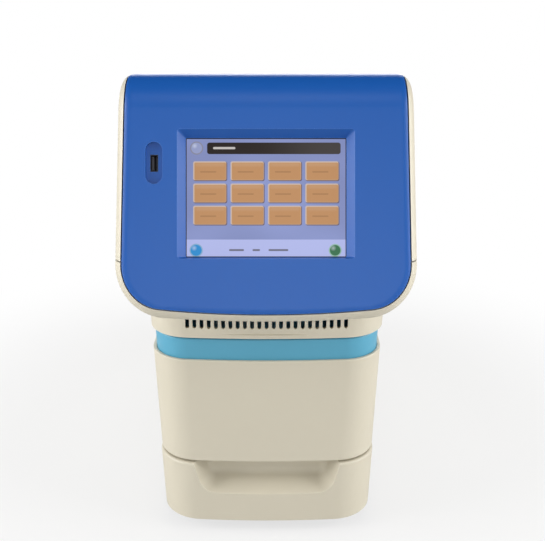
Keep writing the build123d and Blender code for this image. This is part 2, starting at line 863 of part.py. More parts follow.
# Drawer tray: folded steel channel that carries the block and rides on the slides
with BuildPart() as drawer_tray:
    with BuildSketch(Plane.XY.offset(tray_floor)):
        with Locations((0, (tray_front_y + tray_rear_y) / 2)):
            Rectangle(2 * tray_half_width, tray_rear_y - tray_front_y)
    extrude(amount=sheet)
    front_corners = drawer_tray.edges().filter_by(Axis.Z).sort_by(Axis.Y)[:2]
    fillet(front_corners, radius=20)
    with BuildSketch(Plane.YZ.offset(-tray_half_width)) as tray_side:
        with BuildLine():
            Polyline(
                (tray_front_y + 20, tray_floor),
                (tray_rear_y, tray_floor),
                (tray_rear_y, tray_wall_top),
                (block_y + sink_half_depth + 20, tray_wall_top),
                (block_y + sink_half_depth, fin_top),
                (block_y - sink_half_depth, fin_top),
                (block_y - sink_half_depth - 20, tray_wall_top),
                (tray_front_y + 20, tray_wall_top),
                close=True,
            )
        make_face()
        with Locations((block_y - 26, 142)):
            Circle(2.0, mode=Mode.SUBTRACT)
    extrude(amount=sheet)
    extrude(tray_side.sketch.moved(Location((2 * tray_half_width - sheet, 0, 0))), amount=sheet)
    with BuildSketch(Plane.XY.offset(tray_floor)):
        with Locations((0, block_y)):
            with GridLocations(9, 0, 9, 1):
                SlotOverall(78, 5, rotation=90)
    extrude(amount=sheet, mode=Mode.SUBTRACT)
save(drawer_tray, "drawer_tray")


def slide_member(web_x, flange_x, half_height):
    """Pair of channel sections, one each side, with webs at web_x and flanges that reach to flange_x."""
    out = 1 if web_x > flange_x else -1
    with BuildPart() as member:
        with BuildSketch(Plane.XZ.offset(-slide_front_y)):
            for side in (-1, 1):
                with Locations((side * (web_x - out * slide_sheet / 2), slide_z)):
                    Rectangle(slide_sheet, 2 * half_height)
                middle = (web_x + flange_x) / 2
                with Locations(
                    (side * middle, slide_z + half_height - slide_sheet / 2),
                    (side * middle, slide_z - half_height + slide_sheet / 2),
                ):
                    Rectangle(abs(web_x - flange_x), slide_sheet)
        extrude(amount=-slide_length)
    return member


middle_half = slide_inner_half + slide_running_gap + slide_sheet
outer_half = middle_half + slide_running_gap + slide_sheet
slide_inner = slide_member(tray_half_width, slide_inner_flange, slide_inner_half)
save(slide_inner, "slide_inner")
slide_middle = slide_member(slide_middle_web + slide_sheet, slide_middle_flange, middle_half)
save(slide_middle, "slide_middle")
slide_outer = slide_member(frame_inner, slide_outer_flange, outer_half)
save(slide_outer, "slide_outer")

# Sample block: machined block with a grid of conical wells
with BuildPart() as sample_block:
    with BuildSketch(Plane.XY.offset(block_bottom)):
        with Locations((0, block_y)):
            Rectangle(block_width, block_depth)
    extrude(amount=block_height)
    fillet(sample_block.edges().filter_by(Axis.Z), 3.0)
    with BuildSketch(Plane.XY.offset(block_top)):
        with Locations((0, block_y)):
            with GridLocations(well_pitch, well_pitch, well_columns, well_rows):
                RegularPolygon(well_mouth_radius, 8)
    extrude(amount=-well_depth, taper=well_taper, mode=Mode.SUBTRACT)
save(sample_block, "sample_block")

# Insulating collar round the block
with BuildPart() as block_collar:
    with BuildSketch(Plane.XY.offset(sink_top)):
        with Locations((0, block_y)):
            RectangleRounded(collar_width, collar_depth, 5)
            RectangleRounded(
                block_width + 2 * collar_clearance, block_depth + 2 * collar_clearance, 4, mode=Mode.SUBTRACT
            )
    extrude(amount=collar_height)
save(block_collar, "block_collar")

# Peltier modules between block and heat sink
with BuildPart() as peltier_modules:
    with BuildSketch(Plane.XY.offset(sink_top)):
        with Locations((0, block_y)):
            with GridLocations(peltier_pitch, peltier_pitch, 3, 2):
                Rectangle(peltier_size, peltier_size)
    extrude(amount=peltier_thickness)
save(peltier_modules, "peltier_modules")

# Heat sink: thick base on the tray walls, fins below
with BuildPart() as heat_sink:
    with BuildSketch(Plane.XY.offset(fin_top)):
        with Locations((0, block_y)):
            Rectangle(2 * tray_half_width, 2 * sink_half_depth)
    extrude(amount=sink_base)
    with BuildSketch(Plane.XY.offset(fin_bottom)):
        with Locations((0, block_y)):
            with GridLocations(fin_pitch, 0, fin_count, 1):
                Rectangle(fin_thickness, 2 * sink_half_depth - 2)
    extrude(amount=fin_height)
save(heat_sink, "heat_sink")


def fan_housing(plane):
    """Square fan frame with its duct, mounting holes, struts and motor seat; air leaves along the plane's normal."""
    with BuildPart() as frame:
        with BuildSketch(plane):
            RectangleRounded(fan_size, fan_size, fan_corner)
            Circle(fan_duct_radius, mode=Mode.SUBTRACT)
            with GridLocations(2 * fan_mount, 2 * fan_mount, 2, 2):
                Circle(fan_mount_radius, mode=Mode.SUBTRACT)
        extrude(amount=fan_thickness)
        with BuildSketch(plane):
            Circle(fan_hub_radius)
            with PolarLocations((fan_hub_radius + fan_duct_radius) / 2 - 1, 4, start_angle=45):
                Rectangle(fan_duct_radius - fan_hub_radius + 4, 4)
        extrude(amount=fan_strut)
    return frame


def fan_rotor(plane):
    """Hub with pitched blades, seated just clear of the motor seat."""
    hub_start = fan_strut + close_gap
    hub_height = fan_thickness - hub_start - 1
    blade_length = fan_tip_radius - fan_hub_radius + 3
    blade_middle = fan_hub_radius - 3 + blade_length / 2
    with BuildPart() as rotor:
        with BuildSketch(plane.offset(hub_start)):
            Circle(fan_hub_radius)
        extrude(amount=hub_height)
        with Locations(plane.offset(hub_start + hub_height / 2)):
            with PolarLocations(blade_middle, fan_blades):
                Box(blade_length, 19, 1.4, rotation=(blade_pitch, 0, 0))
        with BuildSketch(plane.offset(hub_start)):
            Circle(fan_tip_radius)
        extrude(amount=hub_height, mode=Mode.INTERSECT)
    return rotor


block_fan_plane = Plane(origin=(0, block_y, fin_bottom - fan_thickness), x_dir=(1, 0, 0), z_dir=(0, 0, 1))
block_fan_housing = fan_housing(block_fan_plane)
save(block_fan_housing, "block_fan_housing")
block_fan_rotor = fan_rotor(block_fan_plane)
save(block_fan_rotor, "block_fan_rotor")
exhaust_plane = Plane(origin=(0, panel_inner_y - fan_thickness, exhaust_z), x_dir=(-1, 0, 0), z_dir=(0, 1, 0))
exhaust_fan_housing = fan_housing(exhaust_plane)
save(exhaust_fan_housing, "exhaust_fan_housing")
exhaust_fan_rotor = fan_rotor(exhaust_plane)
save(exhaust_fan_rotor, "exhaust_fan_rotor")

# Heated lid: heated plate, frame with side wings, nuts, lead screws and guide rods
with BuildPart() as heated_plate:
    with BuildSketch(Plane.XY.offset(lid_plate_bottom)):
        with Locations((0, block_y)):
            RectangleRounded(block_width, block_depth, 3)
            with GridLocations(well_pitch, well_pitch, well_columns, well_rows):
                RegularPolygon(lid_hole_radius, 6, mode=Mode.SUBTRACT)
    extrude(amount=lid_plate_thickness)
save(heated_plate, "heated_plate")

lid_frame_bottom = lid_plate_bottom + lid_plate_thickness
wing_front_y = rod_y - 10
wing_rear_y = screw_y + 12
with BuildPart() as lid_frame:
    with BuildSketch(Plane.XY.offset(lid_frame_bottom)):
        with Locations((0, block_y)):
            RectangleRounded(2 * lid_half_width, 2 * lid_half_depth, 5)
    extrude(amount=lid_height)
    with BuildSketch(Plane.XY.offset(wing_bottom)):
        for side in (-1, 1):
            with Locations((side * (wing_reach + lid_half_width - 4) / 2, (wing_front_y + wing_rear_y) / 2)):
                RectangleRounded(wing_reach - lid_half_width + 4, wing_rear_y - wing_front_y, 6)
    extrude(amount=wing_thickness)
    with BuildSketch(Plane.XY.offset(lid_frame_bottom - 1)):
        with Locations((0, block_y)):
            RectangleRounded(lid_window_width, lid_window_depth, 4)
        with Locations((-screw_x, screw_y), (screw_x, screw_y)):
            Circle(nut_radius)
        with Locations((-screw_x, rod_y), (screw_x, rod_y)):
            Circle(screw_radius + running_gap)
    extrude(amount=lid_height + 10, mode=Mode.SUBTRACT)
save(lid_frame, "lid_frame")

wing_top = wing_bottom + wing_thickness
with BuildPart() as lid_nuts:
    with BuildSketch(Plane.XY.offset(wing_bottom)):
        with Locations((-screw_x, screw_y), (screw_x, screw_y)):
            Circle(nut_radius)
    extrude(amount=wing_thickness)
    with BuildSketch(Plane.XY.offset(wing_top)):
        with Locations((-screw_x, screw_y), (screw_x, screw_y)):
            Circle(nut_flange_radius)
    extrude(amount=nut_flange)
    with BuildSketch(Plane.XY.offset(wing_bottom - 1)):
        with Locations((-screw_x, screw_y), (screw_x, screw_y)):
            Circle(screw_radius + running_gap)
    extrude(amount=nut_length + nut_flange, mode=Mode.SUBTRACT)
save(lid_nuts, "lid_nuts")

with BuildPart() as guide_rods:
    with BuildSketch(Plane.XY.offset(screw_bottom)):
        with Locations((-screw_x, rod_y), (screw_x, rod_y)):
            Circle(screw_radius)
    extrude(amount=optics_deck_bottom - screw_bottom)
    chamfer(guide_rods.edges().group_by(Axis.Z)[0], rod_chamfer)
save(guide_rods, "guide_rods")


def belt_pulley(x, y):
    """Flanged pulley blank centred on a shaft."""
    with BuildPart() as pulley:
        for height, thickness, radius in (
            (pulley_bottom, pulley_height, pulley_radius),
            (pulley_bottom, pulley_flange, pulley_flange_radius),
            (pulley_top - pulley_flange, pulley_flange, pulley_flange_radius),
        ):
            with BuildSketch(Plane.XY.offset(height)):
                with Locations((x, y)):
                    Circle(radius)
            extrude(amount=thickness)
    return pulley.part


def upright_rod(x, y, radius, bottom, top):
    """Plain upright rod between two heights."""
    with BuildPart() as rod:
        with Locations((x, y, bottom)):
            Cylinder(radius, top - bottom, align=(Align.CENTER, Align.CENTER, Align.MIN))
    return rod.part


def lead_screw(side):
    """Lead screw that hangs in the optics deck by its collar, with its pulley."""
    x = side * screw_x
    with BuildPart() as screw:
        add(upright_rod(x, screw_y, screw_radius, screw_bottom, pulley_top + shaft_end))
        chamfer(screw.edges().group_by(Axis.Z)[0], rod_chamfer)
        add(upright_rod(x, screw_y, screw_collar_radius, deck_plate_top + collar_gap, pulley_bottom))
        add(belt_pulley(x, screw_y))
    return screw


lead_screw_left = lead_screw(-1)
save(lead_screw_left, "lead_screw_left")
lead_screw_right = lead_screw(1)
save(lead_screw_right, "lead_screw_right")

with BuildPart() as motor_pulley:
    add(upright_rod(0, motor_y, motor_shaft_radius, motor_shaft_bottom, pulley_top + shaft_end))
    add(belt_pulley(0, motor_y))
save(motor_pulley, "motor_pulley")

# Timing belt round the three pulleys
belt_bottom = (pulley_bottom + pulley_top - belt_width) / 2
pulley_places = [(-screw_x, screw_y), (screw_x, screw_y), (0, motor_y)]
with BuildPart() as belt_core:
    with BuildSketch(Plane.XY.offset(belt_bottom)):
        with Locations(pulley_places):
            Circle(pulley_radius + running_gap)
        make_hull()
    extrude(amount=belt_width)
with BuildPart() as timing_belt:
    with BuildSketch(Plane.XY.offset(belt_bottom)):
        with Locations(pulley_places):
            Circle(pulley_radius + running_gap + belt_thickness)
        make_hull()
    extrude(amount=belt_width)
    add(belt_core.part, mode=Mode.SUBTRACT)
save(timing_belt, "timing_belt")

# Lid motor under the deck, with its shaft in a running bore
with BuildPart() as lid_motor:
    with BuildSketch(Plane.XY.offset(optics_deck_bottom - motor_height)) as motor_outline:
        with Locations((0, motor_y)):
            Rectangle(motor_size, motor_size)
        chamfer(motor_outline.vertices(), 4)
    extrude(amount=motor_height)
    with BuildSketch(Plane.XY.offset(optics_deck_bottom)):
        with Locations((0, motor_y)):
            Circle(motor_boss_radius)
    extrude(amount=motor_boss_height)
    with BuildSketch(Plane.XY.offset(motor_shaft_bottom - close_gap)):
        with Locations((0, motor_y)):
            Circle(motor_shaft_radius + running_gap)
    extrude(amount=motor_height, mode=Mode.SUBTRACT)
save(lid_motor, "lid_motor")

# Optics deck: plate between the side frames, with the light opening over the lid
with BuildPart() as optics_deck:
    with BuildSketch(Plane.XY.offset(optics_deck_bottom)):
        with Locations((0, (optics_deck_front_y + optics_deck_rear_y) / 2)):
            Rectangle(2 * frame_inner, optics_deck_rear_y - optics_deck_front_y)
        with Locations((0, block_y)):
            RectangleRounded(lens_width - 8, lens_depth - 8, 4, mode=Mode.SUBTRACT)
        with Locations((-screw_x, screw_y), (screw_x, screw_y)):
            Circle(screw_radius + running_gap, mode=Mode.SUBTRACT)
        with Locations((0, motor_y)):
            Circle(motor_boss_radius + close_gap, mode=Mode.SUBTRACT)
        with Locations((0, optics_deck_rear_y - deck_slot_margin)):
            with GridLocations(14, 0, 9, 1):
                SlotOverall(36, 7, rotation=90, mode=Mode.SUBTRACT)
    extrude(amount=optics_deck_sheet)
save(optics_deck, "optics_deck")

# Field lens: rectangular plano-convex lens on the deck
lens_sphere = ((lens_width / 2) ** 2 + lens_crown**2) / (2 * lens_crown)
with BuildPart() as field_lens:
    with BuildSketch(Plane.XY.offset(deck_plate_top)):
        with Locations((0, block_y)):
            Rectangle(lens_width, lens_depth)
    extrude(amount=lens_edge + lens_crown)
    with Locations((0, block_y, deck_plate_top + lens_edge + lens_crown - lens_sphere)):
        Sphere(lens_sphere, mode=Mode.INTERSECT)
save(field_lens, "field_lens")

# Optics housing: a light-tight casting that folds the light path to the rear
chimney_front = block_y - chimney_half_depth
chimney_rear = block_y + chimney_half_depth
fold_rise = optics_top - bench_z - 1
with BuildPart() as optics_housing:
    with BuildSketch(Plane.YZ) as optics_profile:
        with BuildLine():
            Polyline(
                (chimney_front, deck_plate_top),
                (chimney_rear, deck_plate_top),
                (chimney_rear, bench_z),
                (optics_rear_y, bench_z),
                (optics_rear_y, optics_top),
                (chimney_front + fold_rise, optics_top),
                (chimney_front, bench_z + 1),
                close=True,
            )
        make_face()
    extrude(amount=optics_half_width, both=True)
    with BuildSketch(Plane.YZ) as optics_hollow:
        with BuildLine():
            Polyline(
                (chimney_front, deck_plate_top - optics_wall - 1),
                (chimney_rear, deck_plate_top - optics_wall - 1),
                (chimney_rear, bench_z),
                (optics_rear_y, bench_z),
                (optics_rear_y, optics_top),
                (chimney_front + fold_rise, optics_top),
                (chimney_front, bench_z + 1),
                close=True,
            )
        make_face()
        offset(amount=-optics_wall, kind=Kind.INTERSECTION, mode=Mode.REPLACE)
    extrude(amount=optics_half_width - optics_wall, both=True, mode=Mode.SUBTRACT)
    with BuildSketch(Plane.XY.offset(optics_top - optics_wall - 1)):
        with Locations((0, (chimney_front + fold_rise + optics_rear_y) / 2)):
            Rectangle(2 * optics_half_width - 16, optics_rear_y - chimney_front - fold_rise - 14)
    extrude(amount=optics_wall + 2, mode=Mode.SUBTRACT)
    with BuildSketch(Plane.XZ.offset(-optics_rear_y - 1)):
        with Locations((0, optics_axis_z)):
            Circle(camera_lens_radius + 1)
        with Locations((lamp_x, optics_axis_z)):
            Circle(lamp_radius - 2)
    extrude(amount=optics_wall + 2, mode=Mode.SUBTRACT)
save(optics_housing, "optics_housing")

with BuildPart() as optics_cover:
    with BuildSketch(Plane.XY.offset(optics_top)):
        with Locations((0, (chimney_front + fold_rise + optics_rear_y) / 2)):
            RectangleRounded(2 * optics_half_width - 4, optics_rear_y - chimney_front - fold_rise - 4, 3)
    extrude(amount=1.5)
save(optics_cover, "optics_cover")

# Fold mirror on the inside of the sloped wall
fold_centre = ((chimney_front + chimney_front + fold_rise) / 2, (bench_z + 1 + optics_top) / 2)
fold_plane = Plane(origin=(0, fold_centre[0], fold_centre[1]), x_dir=(1, 0, 0), z_dir=(0, 1, -1))
with BuildPart() as fold_mirror:
    with BuildSketch(fold_plane.offset(optics_wall)):
        Rectangle(mirror_width, mirror_length)
    extrude(amount=mirror_thickness)
save(fold_mirror, "fold_mirror")

# Filter wheel with its shaft, and the filters
wheel_plane = Plane(origin=(wheel_x, wheel_y, optics_axis_z), x_dir=(-1, 0, 0), z_dir=(0, 1, 0))
with BuildPart() as filter_wheel:
    with BuildSketch(wheel_plane):
        Circle(wheel_radius)
        with PolarLocations(filter_circle, filter_count, start_angle=180):
            Circle(filter_radius, mode=Mode.SUBTRACT)
    extrude(amount=wheel_thickness)
    with BuildSketch(wheel_plane.offset(wheel_thickness)):
        Circle(8)
    extrude(amount=4)
    with BuildSketch(wheel_plane.offset(wheel_thickness)):
        Circle(motor_shaft_radius)
    extrude(amount=stepper_y - wheel_y - wheel_thickness + 11)
save(filter_wheel, "filter_wheel")

with BuildPart() as filters:
    with BuildSketch(wheel_plane.offset((wheel_thickness - filter_thickness) / 2)):
        with PolarLocations(filter_circle, filter_count, start_angle=180):
            Circle(filter_radius)
    extrude(amount=filter_thickness)
save(filters, "filters")

# Wheel motor on its pedestal
stepper_plane = Plane(origin=(wheel_x, stepper_y, optics_axis_z), x_dir=(-1, 0, 0), z_dir=(0, 1, 0))
bench_top = bench_z + bench_sheet
with BuildPart() as wheel_motor:
    with BuildSketch(stepper_plane) as stepper_outline:
        Rectangle(stepper_size, stepper_size)
        chamfer(stepper_outline.vertices(), 2.5)
    extrude(amount=stepper_length)
    with BuildSketch(stepper_plane.offset(-1)):
        Circle(motor_shaft_radius + running_gap)
    extrude(amount=13, mode=Mode.SUBTRACT)
    add(
        block_space(
            (wheel_x - 10, stepper_y + 4, bench_top),
            (wheel_x + 10, stepper_y + stepper_length - 4, optics_axis_z - stepper_size / 2),
        )
    )
save(wheel_motor, "wheel_motor")

# Camera with its lens barrel, on its pedestal
with BuildPart() as camera_module:
    with BuildSketch(Plane.XZ.offset(-camera_y)):
        with Locations((0, optics_axis_z)):
            RectangleRounded(camera_size, camera_size, 3)
    extrude(amount=-camera_length)
    with BuildSketch(Plane.XZ.offset(-(wheel_y + wheel_thickness + 5))):
        with Locations((0, optics_axis_z)):
            Circle(camera_lens_radius)
            Circle(camera_lens_radius - 4, mode=Mode.SUBTRACT)
    extrude(amount=-(camera_y - wheel_y - wheel_thickness - 5))
    add(
        block_space(
            (-12, camera_y + 6, bench_top),
            (12, camera_y + camera_length - 6, optics_axis_z - camera_size / 2),
        )
    )
save(camera_module, "camera_module")

# Lamp: barrel on a finned body, on its pedestal
with BuildPart() as led_lamp:
    with BuildSketch(Plane.XZ.offset(-lamp_y)):
        with Locations((lamp_x, optics_axis_z)):
            Circle(lamp_radius)
    extrude(amount=-18)
    for fin in range(6):
        with BuildSketch(Plane.XZ.offset(-(lamp_y + 18 + 6 * fin))):
            with Locations((lamp_x, optics_axis_z)):
                RectangleRounded(38, 38, 2)
        extrude(amount=-2)
    with BuildSketch(Plane.XZ.offset(-(lamp_y + 18))):
        with Locations((lamp_x, optics_axis_z)):
            Circle(9)
    extrude(amount=-32)
    add(
        block_space(
            (lamp_x - 8, lamp_y + 18, bench_top),
            (lamp_x + 8, lamp_y + 50, optics_axis_z - 17),
        )
    )
save(led_lamp, "led_lamp")

# Optics bench: folded bracket that carries the motor, the camera and the lamp
with BuildPart() as optics_bench:
    with BuildSketch(Plane.XZ.offset(-bench_front_y)):
        with BuildLine():
            Polyline(
                (-optics_half_width, deck_plate_top),
                (-optics_half_width, bench_top),
                (optics_half_width, bench_top),
                (optics_half_width, deck_plate_top),
                (optics_half_width - bench_sheet, deck_plate_top),
                (optics_half_width - bench_sheet, bench_z),
                (-optics_half_width + bench_sheet, bench_z),
                (-optics_half_width + bench_sheet, deck_plate_top),
                close=True,
            )
        make_face()
    extrude(amount=-(bench_rear_y - bench_front_y))
save(optics_bench, "optics_bench")

# Power supply: vented steel box on the pan
with BuildPart() as power_supply:
    with Locations((supply_x, supply_y, pan_top)):
        Box(supply_width, supply_length, supply_height, align=(Align.CENTER, Align.CENTER, Align.MIN))
    chamfer(power_supply.edges().filter_by(Axis.Y).group_by(Axis.Z)[-1], 2)
    with BuildSketch(Plane.XY.offset(pan_top + supply_height)):
        with Locations((supply_x, supply_y)):
            with GridLocations(0, 10, 1, 10):
                SlotOverall(70, 4)
    extrude(amount=-1.5, mode=Mode.SUBTRACT)
save(power_supply, "power_supply")

# Main board on stand-offs, with its larger components
board_bottom = pan_top + board_lift
with BuildPart() as main_board:
    with BuildSketch(Plane.XY.offset(board_bottom)):
        with Locations((board_x, supply_y)):
            RectangleRounded(board_width, board_length, 3)
    extrude(amount=board_thickness)
    with BuildSketch(Plane.XY.offset(pan_top)):
        with Locations((board_x, supply_y)):
            with GridLocations(board_width - 8, board_length - 8, 2, 2):
                Circle(3)
    extrude(amount=board_lift)
    with BuildSketch(Plane.XY.offset(board_bottom + board_thickness)):
        with Locations((board_x, supply_y - 50)):
            Rectangle(30, 30)
        with Locations((board_x, supply_y)):
            Rectangle(34, 12)
        with Locations((board_x - 14, supply_y + 40), (board_x + 2, supply_y + 40), (board_x + 16, supply_y + 40)):
            Circle(6)
    extrude(amount=12)
save(main_board, "main_board")


def rear_plane(x, z, out):
    """Plane facing the back, at a point on the rear panel, moved out by a distance."""
    return Plane(origin=(x, panel_outer_y + out, z), x_dir=(-1, 0, 0), z_dir=(0, 1, 0))


# Power inlet: three-pin socket with its screw flange
with BuildPart() as power_inlet:
    with BuildSketch(rear_plane(inlet_x, service_z, -inlet_body_depth)):
        RectangleRounded(inlet_body_width, inlet_body_height, 2)
    extrude(amount=inlet_body_depth)
    with BuildSketch(rear_plane(inlet_x, service_z, 0)):
        RectangleRounded(inlet_flange_width, inlet_flange_height, 4)
    extrude(amount=inlet_flange)
    with BuildSketch(rear_plane(inlet_x, service_z, inlet_flange)) as inlet_mouth:
        Rectangle(inlet_mouth_width, inlet_mouth_height)
        chamfer(inlet_mouth.vertices().group_by(Axis.Y)[-1], 4)
    extrude(amount=-(inlet_body_depth + inlet_flange - 2), mode=Mode.SUBTRACT)
    with BuildSketch(rear_plane(inlet_x, service_z, -inlet_body_depth + 1)):
        with Locations((-7, -2), (7, -2), (0, 2)):
            Rectangle(2, 4)
    extrude(amount=inlet_body_depth - 3)
save(power_inlet, "power_inlet")

# Switch housing and rocker
rocker_half_height = switch_height / 2 - 1.6
rocker_half_width = switch_width / 2 - 1.4
rocker_pivot_y = panel_outer_y - 2.0
with BuildPart() as switch_housing:
    with BuildSketch(rear_plane(switch_x, service_z, -switch_depth)):
        Rectangle(switch_width, switch_height)
    extrude(amount=switch_depth)
    with BuildSketch(rear_plane(switch_x, service_z, 0)):
        RectangleRounded(switch_width + 3, switch_height + 3, 1.5)
    extrude(amount=1.5)
    with BuildSketch(rear_plane(switch_x, service_z, 2)):
        Rectangle(2 * rocker_half_width + 2 * rocker_gap, 2 * rocker_half_height + 2 * rocker_gap)
    extrude(amount=-13, mode=Mode.SUBTRACT)
    with Locations(Plane(origin=(switch_x, rocker_pivot_y, service_z), z_dir=(1, 0, 0))):
        Cylinder(rocker_pin_radius, switch_width - 1)
save(switch_housing, "switch_housing")

rocker_plane = Plane.YZ.offset(switch_x) * Plane(
    origin=(rocker_pivot_y, service_z, 0),
    x_dir=(cos(radians(rocker_swing / 2)), -sin(radians(rocker_swing / 2)), 0),
    z_dir=(0, 0, 1),
)
rocker_tip = rocker_crest + rocker_half_height * tan(radians(rocker_swing / 2))
with BuildPart() as power_rocker:
    with BuildSketch(rocker_plane):
        with BuildLine():
            Polyline(
                (rocker_crest, 0),
                (rocker_tip, rocker_reach),
                (-rocker_shoulder, rocker_reach),
                (-rocker_root, 0),
                (-rocker_shoulder, -rocker_reach),
                (rocker_tip, -rocker_reach),
                close=True,
            )
        make_face()
        Circle(rocker_pin_radius + running_gap, mode=Mode.SUBTRACT)
    extrude(amount=rocker_half_width, both=True)
save(power_rocker, "power_rocker")


def panel_socket(x, z, size, depth, lip, mouth):
    """Rear-panel connector: body through the panel, thin flange outside and an open mouth."""
    width, height = size
    mouth_width, mouth_height, mouth_depth = mouth
    with BuildPart() as socket:
        with BuildSketch(rear_plane(x, z, -depth)):
            Rectangle(width, height)
        extrude(amount=depth)
        with BuildSketch(rear_plane(x, z, 0)):
            Rectangle(width + 2 * lip, height + 2 * lip)
        extrude(amount=1.0)
        with BuildSketch(rear_plane(x, z, 2)):
            Rectangle(mouth_width, mouth_height)
        extrude(amount=-mouth_depth - 2, mode=Mode.SUBTRACT)
    return socket


network_port = panel_socket(
    network_x, service_z, (network_width, network_height), network_depth, 1.2, (11.8, 9.0, 14.0)
)
save(network_port, "network_port")
rear_usb_port = panel_socket(rear_usb_x, rear_usb_z, (port_height, port_width), port_depth, 1.0, (12.2, 4.9, 11.0))
save(rear_usb_port, "rear_usb_port")

with BuildPart() as serial_port:
    with BuildSketch(rear_plane(serial_x, service_z, -serial_depth)):
        Rectangle(serial_width - 10, serial_height - 2)
    extrude(amount=serial_depth)
    with BuildSketch(rear_plane(serial_x, service_z, 0)):
        RectangleRounded(serial_width, serial_height, 2)
    extrude(amount=1.0)
    with BuildSketch(rear_plane(serial_x, service_z, 0)) as serial_shell:
        Trapezoid(17.5, 8.4, 80)
        fillet(serial_shell.vertices(), 1.5)
    extrude(amount=4.4)
    with BuildSketch(rear_plane(serial_x, service_z, 0.5)):
        with GridLocations(2.8, 2.8, 5, 2):
            Circle(0.5)
    extrude(amount=5, mode=Mode.SUBTRACT)
save(serial_port, "serial_port")

# Fan guard: flat wire rings on a cross, outside the rear panel
with BuildPart() as fan_guard:
    with BuildSketch(rear_plane(0, exhaust_z, 0)):
        for ring in range(5):
            Circle(9 + 9 * ring)
            Circle(7.4 + 9 * ring, mode=Mode.SUBTRACT)
        with Locations((0, 0)):
            Rectangle(2 * fan_mount * 1.16, 1.8, rotation=45)
            Rectangle(2 * fan_mount * 1.16, 1.8, rotation=-45)
    extrude(amount=1.6)
save(fan_guard, "fan_guard")

# Rear screws: pan heads that hold the panel
with BuildPart() as rear_screws:
    with BuildSketch(rear_plane(0, 0, 0)):
        with Locations(
            [(side * x, z) for x, z in ((88, 24), (92, 130), (96, 225), (106, 300)) for side in (-1, 1)]
        ):
            Circle(3.0)
    extrude(amount=1.8)
    chamfer(rear_screws.edges().group_by(Axis.Y)[-1], 0.7)
save(rear_screws, "rear_screws")
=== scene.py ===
import json
import logging
import math
from dataclasses import dataclass
from enum import Enum
from typing import Iterable, Optional, Sequence, Union

import bpy
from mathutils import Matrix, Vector

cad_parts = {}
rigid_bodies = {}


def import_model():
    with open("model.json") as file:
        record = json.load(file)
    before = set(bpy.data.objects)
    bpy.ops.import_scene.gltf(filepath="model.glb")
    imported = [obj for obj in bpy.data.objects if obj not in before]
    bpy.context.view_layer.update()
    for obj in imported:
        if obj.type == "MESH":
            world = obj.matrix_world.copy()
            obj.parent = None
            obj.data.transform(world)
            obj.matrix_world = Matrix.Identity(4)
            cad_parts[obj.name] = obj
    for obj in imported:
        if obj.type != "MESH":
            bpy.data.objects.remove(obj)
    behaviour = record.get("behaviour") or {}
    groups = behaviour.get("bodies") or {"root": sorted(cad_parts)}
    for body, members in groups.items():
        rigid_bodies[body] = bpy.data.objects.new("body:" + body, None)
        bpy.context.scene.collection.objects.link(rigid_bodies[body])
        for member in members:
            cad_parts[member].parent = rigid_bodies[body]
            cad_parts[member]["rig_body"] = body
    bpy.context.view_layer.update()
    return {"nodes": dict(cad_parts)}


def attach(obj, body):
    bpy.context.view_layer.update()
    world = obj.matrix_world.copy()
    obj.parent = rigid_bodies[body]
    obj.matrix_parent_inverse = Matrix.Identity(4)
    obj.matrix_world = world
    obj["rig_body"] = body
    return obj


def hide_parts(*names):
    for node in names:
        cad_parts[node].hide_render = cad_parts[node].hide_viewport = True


# A bench real-time PCR machine: a finish for every sub-part, softened skins for the mouldings, fine rear
# details, and the studio around it.
# Metres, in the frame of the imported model: X to the right, Y to the back, Z up.

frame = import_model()

log = logging.getLogger("pcr_machine")

Colour = tuple[float, float, float]
Point = tuple[float, float, float]
Pair = tuple[float, float]
Socket = Union[bpy.types.NodeSocket, float, Sequence[float]]

MM = 0.001
FACE_TILT = math.radians(20.0)
FACE_CORNER: Point = (0.0, -0.26114, 0.237)
MERGE_DISTANCE = 0.00001
FLAT_ANGLE = math.radians(0.2)
CORNER_ANGLE = math.radians(35.0)
SMOOTH_ANGLE = math.radians(40.0)
HAZE_RANGE = (0.3, 0.8)


class Body(Enum):
    """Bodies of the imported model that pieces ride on."""

    CHASSIS = "chassis"


def opaque(colour: Sequence[float]) -> tuple[float, ...]:
    """Adds full alpha to a colour.

    Args:
        colour: Red, green and blue.

    Returns:
        The colour with its alpha.
    """
    return (*colour, 1.0)


class Grain(Enum):
    """Surface grains, each with its height in metres and its repeat count per metre."""

    FINE = (0.000010, 1900.0)
    SATIN = (0.000016, 1300.0)
    COAT = (0.000030, 700.0)
    CAST = (0.000045, 900.0)

    @property
    def height(self) -> float:
        """Gives the grain's height.

        Returns:
            Metres.
        """
        return self.value[0]

    @property
    def scale(self) -> float:
        """Gives the grain's repeat count.

        Returns:
            Repeats per metre.
        """
        return self.value[1]


